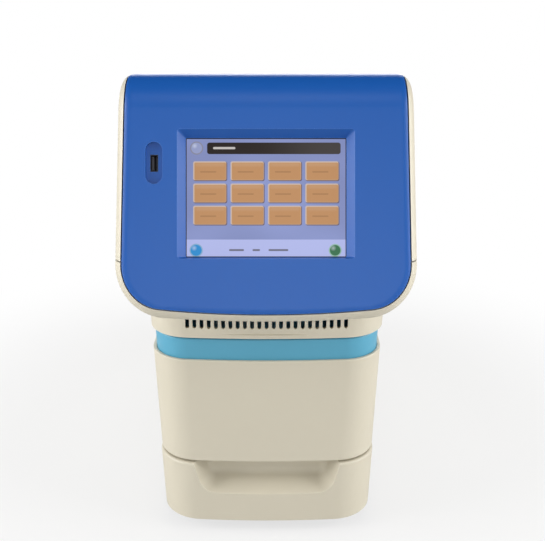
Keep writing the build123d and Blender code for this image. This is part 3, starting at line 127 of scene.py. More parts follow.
class Graph:
    """Thin helper over one node tree."""

    def __init__(self, tree: bpy.types.NodeTree) -> None:
        """Takes the tree to build in.

        Args:
            tree: The node tree of a material or of a group.
        """
        self.tree = tree

    def node(self, kind: str, **settings: object) -> bpy.types.Node:
        """Adds a node.

        Args:
            kind: The node's type name.
            **settings: Attributes to set on it.

        Returns:
            The new node.
        """
        made = self.tree.nodes.new(kind)
        for name, value in settings.items():
            setattr(made, name, value)
        return made

    def feed(self, socket: bpy.types.NodeSocket, source: Socket) -> None:
        """Links a socket to its source, or gives it a plain value.

        Args:
            socket: The input socket.
            source: An output socket, or the value itself.
        """
        if isinstance(source, bpy.types.NodeSocket):
            self.tree.links.new(source, socket)
        else:
            socket.default_value = source

    def math(
        self, operation: str, first: Socket, second: Socket = 0.0, clamp: bool = False
    ) -> bpy.types.NodeSocket:
        """Adds a Math node.

        Args:
            operation: The node's operation.
            first: First operand.
            second: Second operand.
            clamp: Whether the result is held between 0 and 1.

        Returns:
            The node's result.
        """
        made = self.node("ShaderNodeMath", operation=operation, use_clamp=clamp)
        self.feed(made.inputs[0], first)
        self.feed(made.inputs[1], second)
        return made.outputs[0]

    def vector(self, operation: str, first: Socket, *others: Socket) -> bpy.types.Node:
        """Adds a Vector Math node.

        Args:
            operation: The node's operation.
            first: First operand.
            *others: Further operands, in socket order.

        Returns:
            The node, whose Vector or Value output the caller takes.
        """
        made = self.node("ShaderNodeVectorMath", operation=operation)
        for socket, source in zip(made.inputs, (first, *others)):
            self.feed(socket, source)
        return made

    def mix(self, factor: Socket, first: Socket, second: Socket) -> bpy.types.NodeSocket:
        """Adds a colour Mix node.

        Args:
            factor: Share of the second colour.
            first: First colour.
            second: Second colour.

        Returns:
            The mixed colour.
        """
        made = self.node("ShaderNodeMix", data_type="RGBA")
        self.feed(made.inputs["Factor"], factor)
        self.feed(made.inputs[6], first)
        self.feed(made.inputs[7], second)
        return made.outputs[2]

    def remap(
        self, value: Socket, low: float, high: float, to_low: float, to_high: float
    ) -> bpy.types.NodeSocket:
        """Adds a clamped, smooth Map Range node.

        Args:
            value: The value to map.
            low: Start of its range.
            high: End of its range.
            to_low: Result at the start.
            to_high: Result at the end.

        Returns:
            The mapped value.
        """
        made = self.node("ShaderNodeMapRange", interpolation_type="SMOOTHSTEP")
        for socket, source in zip(made.inputs, (value, low, high, to_low, to_high)):
            self.feed(socket, source)
        return made.outputs[0]

    def noise(self, where: Socket, scale: Socket, detail: float = 2.0) -> bpy.types.NodeSocket:
        """Adds a Noise Texture.

        Args:
            where: Coordinates.
            scale: Repeats per metre.
            detail: Number of octaves.

        Returns:
            The noise value.
        """
        made = self.node("ShaderNodeTexNoise")
        self.feed(made.inputs["Vector"], where)
        self.feed(made.inputs["Scale"], scale)
        made.inputs["Detail"].default_value = detail
        return made.outputs["Fac"]

    def swing(self, noise: Socket, reach: Socket) -> bpy.types.NodeSocket:
        """Turns a noise into a swing about zero.

        Args:
            noise: Noise around one half.
            reach: Full width of the swing.

        Returns:
            The swing.
        """
        return self.math("MULTIPLY", self.math("SUBTRACT", noise, 0.5), reach)

    def tinted(self, colour: Socket, value: Socket) -> bpy.types.NodeSocket:
        """Makes a colour lighter or darker.

        Args:
            colour: The colour.
            value: Share of its brightness.

        Returns:
            The changed colour.
        """
        made = self.node("ShaderNodeHueSaturation")
        self.feed(made.inputs["Color"], colour)
        self.feed(made.inputs["Value"], value)
        return made.outputs["Color"]

    def place(self) -> bpy.types.NodeSocket:
        """Adds a Texture Coordinate node.

        Returns:
            Its Object coordinates.
        """
        return self.node("ShaderNodeTexCoord").outputs["Object"]


class EffectGroup:
    """A shader node group that several materials share."""

    def __init__(self, name: str, inputs: dict[str, str], outputs: dict[str, str]) -> None:
        """Makes the empty group.

        Args:
            name: Name of the group.
            inputs: Socket type of each input, by name.
            outputs: Socket type of each output, by name.
        """
        self.tree = bpy.data.node_groups.new(name, "ShaderNodeTree")
        for direction, sockets in (("INPUT", inputs), ("OUTPUT", outputs)):
            for label, kind in sockets.items():
                self.tree.interface.new_socket(name=label, in_out=direction, socket_type=kind)
        self.graph = Graph(self.tree)
        self.inputs = self.graph.node("NodeGroupInput").outputs
        self.outputs = self.graph.node("NodeGroupOutput").inputs

    def placed_in(self, graph: Graph, **values: Socket) -> bpy.types.bpy_prop_collection:
        """Places the group in another tree.

        Args:
            graph: The tree's helper.
            **values: Sources of the group's inputs, with underscores for spaces.

        Returns:
            The placed group's outputs.
        """
        made = graph.node("ShaderNodeGroup", node_tree=self.tree)
        for name, source in values.items():
            graph.feed(made.inputs[name.replace("_", " ")], source)
        return made.outputs


class Effects:
    """The shared effects, each built once."""

    open_likeness = 0.995
    corner_likeness = 0.90
    slow_scale = 9.0
    spot_scale = 140.0
    spot_share = 0.35
    blotch_scale = 28.0
    blotch_value = (0.94, 0.12)
    streak_gloss = 0.30

    def __init__(self) -> None:
        """Builds every group."""
        self.edge = self._edge_highlight_mask()
        self.surface = self._surface()
        self.brushed = self._brushed()
        self.plate = self._rounded_plate()

    def _edge_highlight_mask(self) -> EffectGroup:
        """Mask of the edges that get a painted highlight: 1 on a corner, 0 on open surface.

        Returns:
            The group.
        """
        group = EffectGroup("edge_highlight_mask", {"Reach": "NodeSocketFloat"}, {"Mask": "NodeSocketFloat"})
        graph = group.graph
        bevel = graph.node("ShaderNodeBevel", samples=4)
        graph.feed(bevel.inputs["Radius"], group.inputs["Reach"])
        normal = graph.node("ShaderNodeNewGeometry").outputs["Normal"]
        likeness = graph.vector("DOT_PRODUCT", bevel.outputs["Normal"], normal).outputs["Value"]
        mask = graph.remap(likeness, self.open_likeness, self.corner_likeness, 0.0, 1.0)
        graph.feed(group.outputs["Mask"], mask)
        return group

    def _surface(self) -> EffectGroup:
        """Moulded or coated surface: slow change of tone, mottled gloss and a fine grain.

        Returns:
            The group.
        """
        group = EffectGroup(
            "surface_grain",
            {
                "Colour": "NodeSocketColor",
                "Tone": "NodeSocketFloat",
                "Grain Scale": "NodeSocketFloat",
                "Gloss": "NodeSocketFloat",
                "Gloss Spread": "NodeSocketFloat",
            },
            {"Colour": "NodeSocketColor", "Roughness": "NodeSocketFloat", "Height": "NodeSocketFloat"},
        )
        graph, given = group.graph, group.inputs
        place = graph.place()
        spots = graph.noise(place, self.spot_scale, 2.0)
        slow_swing = graph.swing(graph.noise(place, self.slow_scale, 3.0), given["Tone"])
        spot_swing = graph.swing(spots, graph.math("MULTIPLY", given["Tone"], self.spot_share))
        value = graph.math("ADD", 1.0, graph.math("ADD", slow_swing, spot_swing))
        graph.feed(group.outputs["Colour"], graph.tinted(given["Colour"], value))
        spread = graph.swing(spots, given["Gloss Spread"])
        graph.feed(group.outputs["Roughness"], graph.math("ADD", given["Gloss"], spread, clamp=True))
        graph.feed(group.outputs["Height"], graph.noise(place, given["Grain Scale"], 1.0))
        return group

    def _brushed(self) -> EffectGroup:
        """Brushed or drawn metal: streaks along one direction.

        Returns:
            The group.
        """
        group = EffectGroup(
            "brushed_streaks",
            {"Stretch": "NodeSocketVector", "Gloss": "NodeSocketFloat", "Colour": "NodeSocketColor"},
            {"Colour": "NodeSocketColor", "Roughness": "NodeSocketFloat", "Height": "NodeSocketFloat"},
        )
        graph, given = group.graph, group.inputs
        stretched = graph.vector("MULTIPLY", graph.place(), given["Stretch"]).outputs["Vector"]
        streaks = graph.noise(stretched, 1.0, 3.0)
        gloss = graph.math("ADD", given["Gloss"], graph.swing(streaks, self.streak_gloss), clamp=True)
        graph.feed(group.outputs["Roughness"], gloss)
        least, spread = self.blotch_value
        blotches = graph.noise(graph.place(), self.blotch_scale, 2.0)
        value = graph.math("ADD", least, graph.math("MULTIPLY", blotches, spread))
        graph.feed(group.outputs["Colour"], graph.tinted(given["Colour"], value))
        graph.feed(group.outputs["Height"], streaks)
        return group

    @staticmethod
    def _rounded_plate() -> EffectGroup:
        """Mask of a rectangle with rounded corners.

        Returns:
            The group.
        """
        group = EffectGroup(
            "rounded_plate",
            {
                "Point": "NodeSocketVector",
                "Centre": "NodeSocketVector",
                "Half Size": "NodeSocketVector",
                "Corner": "NodeSocketFloat",
                "Softness": "NodeSocketFloat",
            },
            {"Mask": "NodeSocketFloat"},
        )
        graph, given = group.graph, group.inputs
        away = graph.vector("SUBTRACT", given["Point"], given["Centre"]).outputs["Vector"]
        folded = graph.vector("ABSOLUTE", away).outputs["Vector"]
        corner = graph.node("ShaderNodeCombineXYZ")
        graph.feed(corner.inputs[0], given["Corner"])
        graph.feed(corner.inputs[1], given["Corner"])
        inner = graph.vector("SUBTRACT", given["Half Size"], corner.outputs["Vector"]).outputs["Vector"]
        past = graph.vector("SUBTRACT", folded, inner).outputs["Vector"]
        outside = graph.vector("MAXIMUM", past, (0.0, 0.0, 0.0)).outputs["Vector"]
        length = graph.vector("LENGTH", outside).outputs["Value"]
        gap = graph.math("SUBTRACT", length, given["Corner"])
        share = graph.math("DIVIDE", gap, given["Softness"])
        graph.feed(group.outputs["Mask"], graph.math("SUBTRACT", 0.5, share, clamp=True))
        return group


effects = Effects()


def new_material(name: str) -> tuple[bpy.types.Material, Graph, bpy.types.Node]:
    """Starts a material.

    Args:
        name: Name of the material.

    Returns:
        The material, the helper over its tree and its Principled BSDF.
    """
    material = bpy.data.materials.new(name)
    material.use_nodes = True
    graph = Graph(material.node_tree)
    return material, graph, material.node_tree.nodes["Principled BSDF"]


def raise_grain(graph: Graph, shader: bpy.types.Node, height: Socket, rise: float) -> None:
    """Feeds a height through a Bump node into a shader's normal.

    Args:
        graph: The material's helper.
        shader: The shader to feed.
        height: The height value.
        rise: Height of a full step, in metres.
    """
    bump = graph.node("ShaderNodeBump")
    bump.inputs["Distance"].default_value = rise
    bump.inputs["Strength"].default_value = 1.0
    graph.feed(bump.inputs["Height"], height)
    graph.feed(shader.inputs["Normal"], bump.outputs["Normal"])


@dataclass(frozen=True)
class Moulding:
    """Moulded plastic or a coat of paint, with a grain and a painted highlight along its edges."""

    name: str
    colour: Colour
    gloss: float
    grain: Grain
    tone: float = 0.06
    gloss_spread: float = 0.10
    edge_highlight_colour: Optional[Colour] = None
    edge_highlight_share: float = 0.5
    edge_reach: float = 0.0009

    def material(self) -> bpy.types.Material:
        """Builds the material.

        Returns:
            The material.
        """
        material, graph, shader = new_material(self.name)
        surface = effects.surface.placed_in(
            graph,
            Colour=opaque(self.colour),
            Tone=self.tone,
            Grain_Scale=self.grain.scale,
            Gloss=self.gloss,
            Gloss_Spread=self.gloss_spread,
        )
        colour: Socket = surface["Colour"]
        # Painted highlight: along corners the colour is mixed toward a paler edge colour, standing in for
        # light caught on the rounded edges.
        if self.edge_highlight_colour is not None:
            mask = effects.edge.placed_in(graph, Reach=self.edge_reach)["Mask"]
            share = graph.math("MULTIPLY", mask, self.edge_highlight_share)
            colour = graph.mix(share, colour, opaque(self.edge_highlight_colour))
        graph.feed(shader.inputs["Base Color"], colour)
        graph.feed(shader.inputs["Roughness"], surface["Roughness"])
        raise_grain(graph, shader, surface["Height"], self.grain.height)
        return material


@dataclass(frozen=True)
class Metal:
    """Bare metal with streaks along one direction."""

    name: str
    colour: Colour
    gloss: float
    stretch: Point
    rise: float = 0.000008
    metallic: float = 1.0

    def material(self) -> bpy.types.Material:
        """Builds the material.

        Returns:
            The material.
        """
        material, graph, shader = new_material(self.name)
        streaks = effects.brushed.placed_in(
            graph, Stretch=self.stretch, Gloss=self.gloss, Colour=opaque(self.colour)
        )
        graph.feed(shader.inputs["Base Color"], streaks["Colour"])
        graph.feed(shader.inputs["Roughness"], streaks["Roughness"])
        shader.inputs["Metallic"].default_value = self.metallic
        raise_grain(graph, shader, streaks["Height"], self.rise)
        return material


@dataclass(frozen=True)
class ClearGlass:
    """Optical glass, clear or coated."""

    name: str
    colour: Colour
    roughness: float = 0.02
    haze_scale: float = 60.0
    haze_shade: float = 0.97

    def material(self) -> bpy.types.Material:
        """Builds the material.

        Returns:
            The material.
        """
        material, graph, shader = new_material(self.name)
        haze = graph.noise(graph.place(), self.haze_scale, 2.0)
        hazed = [self.haze_shade * share for share in self.colour]
        graph.feed(shader.inputs["Base Color"], graph.mix(haze, opaque(self.colour), opaque(hazed)))
        blur = graph.remap(haze, *HAZE_RANGE, self.roughness, self.roughness * 2.0)
        graph.feed(shader.inputs["Roughness"], blur)
        shader.inputs["Transmission Weight"].default_value = 1.0
        return material


@dataclass(frozen=True)
class CircuitBoard:
    """Solder mask over copper tracks."""

    name: str
    mask: Colour = (0.010, 0.110, 0.045)
    track: Colour = (0.020, 0.190, 0.080)
    turn: float = 0.35
    cell_scale: float = 220.0
    track_edge: Pair = (0.34, 0.38)
    track_rise: float = 0.00003
    gloss_scale: float = 400.0
    gloss_edge: Pair = (0.3, 0.7)
    gloss: Pair = (0.28, 0.40)

    def material(self) -> bpy.types.Material:
        """Builds the material.

        Returns:
            The material.
        """
        material, graph, shader = new_material(self.name)
        place = graph.place()
        turned = graph.node("ShaderNodeMapping")
        graph.feed(turned.inputs["Vector"], place)
        turned.inputs["Rotation"].default_value = (self.turn, 0.0, 0.0)
        cells = graph.node("ShaderNodeTexVoronoi", distance="CHEBYCHEV", feature="F1")
        graph.feed(cells.inputs["Vector"], turned.outputs["Vector"])
        cells.inputs["Scale"].default_value = self.cell_scale
        tracks = graph.remap(cells.outputs["Distance"], *self.track_edge, 0.0, 1.0)
        graph.feed(shader.inputs["Base Color"], graph.mix(tracks, opaque(self.mask), opaque(self.track)))
        gloss = graph.remap(graph.noise(place, self.gloss_scale), *self.gloss_edge, *self.gloss)
        graph.feed(shader.inputs["Roughness"], gloss)
        raise_grain(graph, shader, tracks, self.track_rise)
        return material


@dataclass(frozen=True)
class Plate:
    """A rounded rectangle on the screen, in millimetres across and up the face."""

    centre: Pair
    half: Pair
    corner: float
    softness: float = 0.35

    def mask(self, graph: Graph, where: Socket) -> bpy.types.NodeSocket:
        """Makes the plate's mask.

        Args:
            graph: The material's helper.
            where: The point to test.

        Returns:
            1 on the plate and 0 off it.
        """
        placed = effects.plate.placed_in(
            graph,
            Point=where,
            Centre=(*self.centre, 0.0),
            Half_Size=(*self.half, 0.0),
            Corner=self.corner,
            Softness=self.softness,
        )
        return placed["Mask"]


@dataclass(frozen=True)
class RoundButton:
    """A round button with a pale ring and a soft highlight."""

    centre: Pair
    radius: float
    colour: Colour
    ring: Colour
    ring_width: float = 0.9
    shine: Colour = (0.80, 0.86, 0.95)
    shine_share: float = 0.55
    shine_shift: Pair = (-0.3, 0.35)
    shine_radius: float = 0.9
    shine_softness: float = 3.2

    def over(self, graph: Graph, where: Socket, below: Socket) -> bpy.types.NodeSocket:
        """Lays the button over a colour.

        Args:
            graph: The material's helper.
            where: The point to test.
            below: The colour under the button.

        Returns:
            The colour with the button on it.
        """
        whole = Plate(self.centre, (self.radius, self.radius), self.radius)
        inner = self.radius - self.ring_width
        face = Plate(self.centre, (inner, inner), inner)
        across, up = (place + share * self.radius for place, share in zip(self.centre, self.shine_shift))
        spot = (self.shine_radius, self.shine_radius)
        high = Plate((across, up), spot, self.shine_radius, self.shine_softness)
        colour = graph.mix(whole.mask(graph, where), below, opaque(self.ring))
        colour = graph.mix(face.mask(graph, where), colour, opaque(self.colour))
        shine = graph.math("MULTIPLY", high.mask(graph, where), self.shine_share)
        return graph.mix(shine, colour, opaque(self.shine))


@dataclass(frozen=True)
class ScreenPicture:
    """Lit picture of the touch screen under plain glass.

    It has a title bar, a grid of amber tiles and three round buttons, and its lines stand for no text.
    """

    name: str = "screen_picture"
    ground: Colour = (0.225, 0.265, 0.500)
    strip: Colour = (0.500, 0.540, 0.880)
    bar: Colour = (0.022, 0.016, 0.014)
    bar_end: Colour = (0.060, 0.052, 0.050)
    tile: Colour = (0.490, 0.215, 0.055)
    tile_edge: Colour = (0.125, 0.065, 0.035)
    tile_light: Colour = (0.720, 0.560, 0.430)
    tile_label: Colour = (0.20, 0.11, 0.05)
    title_line: Colour = (0.55, 0.52, 0.50)
    strip_line: Colour = (0.16, 0.16, 0.22)
    frame_colour: Colour = (0.01, 0.01, 0.015)
    # The next four fields give a painted glare on the screen: paler soft patches over the lavender
    # ground.
    glare_scale: Point = (0.010, 0.016, 0.0)
    glare_edge: Pair = (0.35, 0.65)
    glare_share: float = 0.6
    glare_lift: float = 1.35
    window_centre: float = 105.9
    window_half: Pair = (65.2, 48.35)
    border: float = 0.7
    columns: int = 4
    rows: int = 3
    tile_pitch: Pair = (30.36, 18.0)
    tile_half: Pair = (13.7, 7.9)
    grid_centre: Pair = (0.05, 109.5)
    strip_plate: Plate = Plate((0.0, 64.7), (66.0, 7.2), 0.1)
    bar_plate: Plate = Plate((6.3, 146.0), (54.2, 4.7), 2.0)
    bar_fade: Pair = (-20.0, 60.0)
    title_plate: Plate = Plate((-34.0, 146.2), (9.0, 0.9), 0.8)
    strip_plates: tuple[Plate, ...] = (
        Plate((-24.0, 63.4), (6.0, 0.8), 0.7),
        Plate((-8.0, 63.4), (3.0, 0.8), 0.7),
        Plate((10.0, 63.4), (8.0, 0.8), 0.7),
    )
    buttons: tuple[RoundButton, ...] = (
        RoundButton((-56.4, 146.2), 5.3, (0.300, 0.340, 0.560), (0.25, 0.25, 0.32)),
        RoundButton((-56.8, 63.2), 5.4, (0.030, 0.270, 0.620), (0.25, 0.42, 0.60)),
        RoundButton((56.1, 63.2), 5.2, (0.045, 0.170, 0.080), (0.30, 0.50, 0.42)),
    )
    glow: float = 0.85
    dark_share: float = 0.85
    haze_scale: float = 45.0
    gloss: Pair = (0.16, 0.24)
    specular: float = 0.12

    def material(self) -> bpy.types.Material:
        """Builds the material.

        Returns:
            The material.
        """
        material, graph, shader = new_material(self.name)
        point = self._face_point(graph)
        colour = self._over(graph, point, self._ground(graph, point), self.strip_plate, self.strip)
        across = graph.node("ShaderNodeSeparateXYZ")
        graph.feed(across.inputs[0], point)
        fade = graph.remap(across.outputs["X"], *self.bar_fade, 0.0, 1.0)
        title = graph.mix(fade, opaque(self.bar), opaque(self.bar_end))
        colour = graph.mix(self.bar_plate.mask(graph, point), colour, title)
        colour = self._tiles(graph, point, colour)
        for button in self.buttons:
            colour = button.over(graph, point, colour)
        colour = self._over(graph, point, colour, self.title_plate, self.title_line)
        for line in self.strip_plates:
            colour = self._over(graph, point, colour, line, self.strip_line)
        width, height = self.window_half
        shown = Plate((0.0, self.window_centre), (width - self.border, height - self.border), 0.4)
        colour = graph.mix(shown.mask(graph, point), opaque(self.frame_colour), colour)
        dark = graph.mix(self.dark_share, colour, opaque((0.0, 0.0, 0.0)))
        graph.feed(shader.inputs["Base Color"], dark)
        graph.feed(shader.inputs["Emission Color"], colour)
        shader.inputs["Emission Strength"].default_value = self.glow
        haze = graph.noise(graph.place(), self.haze_scale, 3.0)
        graph.feed(shader.inputs["Roughness"], graph.remap(haze, *HAZE_RANGE, *self.gloss))
        shader.inputs["Specular IOR Level"].default_value = self.specular
        return material

    @staticmethod
    def _over(
        graph: Graph, where: Socket, below: Socket, plate: Plate, colour: Colour
    ) -> bpy.types.NodeSocket:
        """Lays one plain plate over a colour.

        Args:
            graph: The material's helper.
            where: Millimetres on the face.
            below: The colour under the plate.
            plate: The plate.
            colour: Its colour.

        Returns:
            The colour with the plate on it.
        """
        return graph.mix(plate.mask(graph, where), below, opaque(colour))

    @staticmethod
    def _face_point(graph: Graph) -> bpy.types.NodeSocket:
        """Millimetres across and up the leaned-back face.

        Args:
            graph: The material's helper.

        Returns:
            A vector with the point in X and Y.
        """
        away = graph.vector("SUBTRACT", graph.place(), FACE_CORNER).outputs["Vector"]
        axis = (0.0, math.sin(FACE_TILT), math.cos(FACE_TILT))
        up = graph.vector("DOT_PRODUCT", away, axis).outputs["Value"]
        parts = graph.node("ShaderNodeSeparateXYZ")
        graph.feed(parts.inputs[0], away)
        point = graph.node("ShaderNodeCombineXYZ")
        graph.feed(point.inputs[0], graph.math("DIVIDE", parts.outputs["X"], MM))
        graph.feed(point.inputs[1], graph.math("DIVIDE", up, MM))
        return point.outputs["Vector"]

    def _ground(self, graph: Graph, point: Socket) -> bpy.types.NodeSocket:
        """Lavender ground with paler soft patches, which are a painted glare on the screen.

        Args:
            graph: The material's helper.
            point: Millimetres on the face.

        Returns:
            The ground's colour.
        """
        scaled = graph.vector("MULTIPLY", point, self.glare_scale).outputs["Vector"]
        # Painted glare: soft noise patches lift the ground toward a paler lavender.
        glare = graph.remap(graph.noise(scaled, 1.0, 1.0), *self.glare_edge, 0.0, self.glare_share)
        pale = [min(1.0, self.glare_lift * share) for share in self.ground]
        return graph.mix(glare, opaque(self.ground), opaque(pale))

    def _tiles(self, graph: Graph, point: Socket, below: Socket) -> bpy.types.NodeSocket:
        """Lays the grid of tiles over a colour.

        Args:
            graph: The material's helper.
            point: Millimetres on the face.
            below: The colour under the tiles.

        Returns:
            The colour with the tiles on it.
        """
        half_x, half_y = self.tile_pitch[0] / 2, self.tile_pitch[1] / 2
        shift_x = half_x if self.columns % 2 == 0 else 0.0
        shift_y = half_y if self.rows % 2 == 0 else 0.0
        origin = (self.grid_centre[0] + shift_x, self.grid_centre[1] + shift_y, 0.0)
        moved = graph.vector("SUBTRACT", point, origin).outputs["Vector"]
        cell = ((half_x, half_y, 1.0), (-half_x, -half_y, -1.0))
        local = graph.vector("WRAP", moved, *cell).outputs["Vector"]
        grid = Plate(self.grid_centre, (self.columns * half_x, self.rows * half_y), 0.1)
        inside = grid.mask(graph, point)
        width, height = self.tile_half
        layers = (
            (Plate((0.25, -0.25), (width, height), 1.6), self.tile_edge, 1.0),
            (Plate((-0.25, 0.25), (width - 0.25, height - 0.25), 1.5), self.tile_light, 1.0),
            (Plate((0.15, -0.15), (width - 0.85, height - 0.85), 1.2, 0.5), self.tile, 1.0),
            (Plate((0.0, height - 2.6), (width - 2.4, 0.9), 0.9, 3.0), self.tile_light, 0.22),
            (Plate((-1.5, -0.6), (6.5, 0.6), 0.5), self.tile_label, 0.45),
        )
        colour = below
        for plate, tint, strength in layers:
            mask = graph.math("MULTIPLY", plate.mask(graph, local), inside)
            colour = graph.mix(graph.math("MULTIPLY", mask, strength), colour, opaque(tint))
        return colour


# The paler edge colour of each moulding below is a painted highlight along its edges.
CREAM = Moulding(
    "cream_moulding", (0.600, 0.555, 0.445), 0.44, Grain.SATIN, tone=0.04,
    edge_highlight_colour=(0.74, 0.70, 0.59), edge_highlight_share=0.55,
)
BLUE = Moulding(
    "blue_moulding", (0.003, 0.088, 0.385), 0.38, Grain.FINE, tone=0.05, gloss_spread=0.06,
    edge_highlight_colour=(0.10, 0.24, 0.60),
)
TEAL = Moulding(
    "teal_moulding", (0.085, 0.345, 0.500), 0.42, Grain.FINE, tone=0.04, edge_highlight_colour=(0.26, 0.56, 0.70)
)
BLACK = Moulding(
    "black_moulding", (0.022, 0.022, 0.024), 0.42, Grain.SATIN, tone=0.2, edge_highlight_colour=(0.07, 0.07, 0.07)
)
PALE_FOAM = Moulding("insulating_foam", (0.70, 0.69, 0.64), 0.70, Grain.CAST, tone=0.08)
RUBBER = Moulding("foot_rubber", (0.030, 0.030, 0.031), 0.72, Grain.CAST, tone=0.25, gloss_spread=0.15)
GREY_COAT = Moulding(
    "grey_powder_coat", (0.500, 0.495, 0.475), 0.48, Grain.COAT, tone=0.05, edge_highlight_colour=(0.60, 0.60, 0.58)
)
ANODISED = Moulding(
    "black_anodised", (0.020, 0.020, 0.022), 0.38, Grain.CAST, tone=0.2, edge_highlight_colour=(0.10, 0.10, 0.10)
)
CERAMIC = Moulding("white_ceramic", (0.80, 0.80, 0.77), 0.40, Grain.FINE, tone=0.05)
ZINC = Metal("zinc_sheet", (0.56, 0.58, 0.60), 0.42, (90.0, 1200.0, 1200.0), metallic=0.6)
BLASTED = Metal(
    "blasted_block", (0.60, 0.61, 0.62), 0.52, (700.0, 700.0, 700.0), rise=0.000003, metallic=0.7
)
BRIGHT = Metal("bright_steel", (0.66, 0.66, 0.67), 0.22, (1800.0, 80.0, 1800.0))
DARK_STEEL = Metal("dark_steel", (0.060, 0.060, 0.068), 0.42, (1800.0, 80.0, 1800.0))
ALUMINIUM = Metal("machined_aluminium", (0.80, 0.81, 0.82), 0.28, (80.0, 1600.0, 1600.0))
BRASS = Metal("turned_brass", (0.72, 0.50, 0.20), 0.24, (1600.0, 1600.0, 60.0))
MIRROR = Metal("silvered_mirror", (0.93, 0.93, 0.94), 0.03, (40.0, 40.0, 40.0), rise=0.0000005)
LENS = ClearGlass("lens_glass", (0.96, 0.98, 1.0))
FILTER = ClearGlass("filter_glass", (0.85, 0.40, 0.12))
BOARD = CircuitBoard("circuit_board")
PICTURE = ScreenPicture()

Finish = Union[Moulding, Metal, ClearGlass, CircuitBoard, ScreenPicture]


class Paint:
    """Gives finishes to objects, with each material built once."""

    def __init__(self) -> None:
        """Starts with no material built."""
        self.made: dict[str, bpy.types.Material] = {}

    def dress(self, thing: bpy.types.Object, finish: Finish) -> None:
        """Gives an object one finish all over.

        Args:
            thing: The object.
            finish: Its finish.
        """
        if finish.name not in self.made:
            self.made[finish.name] = finish.material()
        thing.data.materials.clear()
        thing.data.materials.append(self.made[finish.name])

    def dress_nodes(self, names: Iterable[str], finish: Finish) -> None:
        """Gives CAD nodes one finish.

        Args:
            names: Names of the nodes.
            finish: Their finish.
        """
        for name in names:
            self.dress(frame["nodes"][name], finish)
            log.info("node %s: %s", name, finish.name)


paint = Paint()


class Modeller:
    """Steps of modelling with Blender's operators."""

    @staticmethod
    def only(thing: bpy.types.Object) -> None:
        """Makes one object the selected and active one.

        Args:
            thing: The object.
        """
        if bpy.context.mode != "OBJECT":
            bpy.ops.object.mode_set(mode="OBJECT")
        bpy.ops.object.select_all(action="DESELECT")
        thing.select_set(True)
        bpy.context.view_layer.objects.active = thing

    @staticmethod
    def apply(thing: bpy.types.Object, modifier: bpy.types.Modifier) -> None:
        """Applies one modifier.

        Args:
            thing: The object that has it.
            modifier: The modifier.
        """
        Modeller.only(thing)
        bpy.ops.object.modifier_apply(modifier=modifier.name)

    @staticmethod
    def softened_copy(node: str, soften: float) -> bpy.types.Object:
        """Copies a CAD node as one closed skin with softened edges and smooth shading.

        Args:
            node: Name of the CAD node.
            soften: Width of the softened edges, in metres, or 0 for none.

        Returns:
            The copy, with its place in its mesh.
        """
        source = frame["nodes"][node]
        skin = bpy.data.objects.new(f"{node}_skin", source.data.copy())
        bpy.context.scene.collection.objects.link(skin)
        Modeller.only(skin)
        bpy.ops.object.mode_set(mode="EDIT")
        bpy.ops.mesh.select_all(action="SELECT")
        bpy.ops.mesh.remove_doubles(threshold=MERGE_DISTANCE)
        bpy.ops.mesh.dissolve_limited(angle_limit=FLAT_ANGLE, delimit=set())
        bpy.ops.object.mode_set(mode="OBJECT")
        if soften > 0.0:
            bevel = skin.modifiers.new("soften", "BEVEL")
            bevel.width = soften
            bevel.segments = 2
            bevel.limit_method = "ANGLE"
            bevel.angle_limit = CORNER_ANGLE
            Modeller.apply(skin, bevel)
        Modeller.only(skin)
        bpy.ops.object.shade_smooth_by_angle(angle=CORNER_ANGLE)
        weighted = skin.modifiers.new("even_shading", "WEIGHTED_NORMAL")
        weighted.keep_sharp = True
        weighted.weight = 100
        Modeller.apply(skin, weighted)
        return skin

    @staticmethod
    def block(centre: Point, size: Point, turn: Point = (0.0, 0.0, 0.0)) -> bpy.types.Object:
        """Adds a plain block to work on.

        Args:
            centre: Its centre.
            size: Its size along each axis.
            turn: Its turn about each axis, in radians.

        Returns:
            The block.
        """
        bpy.ops.object.select_all(action="DESELECT")
        bpy.ops.mesh.primitive_cube_add(size=1.0, location=centre, rotation=turn)
        made = bpy.context.object
        made.scale = size
        return made

    @staticmethod
    def joined(pieces: Sequence[bpy.types.Object], name: str) -> bpy.types.Object:
        """Joins pieces into one mesh at the origin, unturned and unscaled.

        Args:
            pieces: The pieces.
            name: Name of the joined piece.

        Returns:
            The joined piece.
        """
        Modeller.only(pieces[0])
        for piece in pieces[1:]:
            piece.select_set(True)
        bpy.ops.object.transform_apply(location=True, rotation=True, scale=True)
        if len(pieces) > 1:
            bpy.ops.object.join()
        whole = bpy.context.view_layer.objects.active
        whole.name = name
        return whole

    @staticmethod
    def rounded(thing: bpy.types.Object, width: float, segments: int = 2) -> None:
        """Rounds the edges of a piece and shades it smooth.

        Args:
            thing: The piece.
            width: Width of the rounding, in metres.
            segments: Faces across it.
        """
        bevel = thing.modifiers.new("rounded", "BEVEL")
        bevel.width = width
        bevel.segments = segments
        Modeller.apply(thing, bevel)
        bpy.ops.object.shade_smooth_by_angle(angle=SMOOTH_ANGLE)

    @staticmethod
    def cut(thing: bpy.types.Object, cutter: bpy.types.Object) -> None:
        """Cuts one piece with another, which it uses up.

        Args:
            thing: The piece to cut.
            cutter: The cutting piece.
        """
        difference = thing.modifiers.new("cut", "BOOLEAN")
        difference.operation = "DIFFERENCE"
        difference.solver = "EXACT"
        difference.use_self = True
        difference.object = cutter
        Modeller.apply(thing, difference)
        bpy.data.objects.remove(cutter, do_unlink=True)


@dataclass(frozen=True)
class PlainAssembly:
    """CAD nodes of one sub-assembly that show their own mesh."""

    name: str
    finishes: tuple[tuple[Finish, tuple[str, ...]], ...]

    def build(self) -> None:
        """Dresses every node."""
        for finish, nodes in self.finishes:
            paint.dress_nodes(nodes, finish)


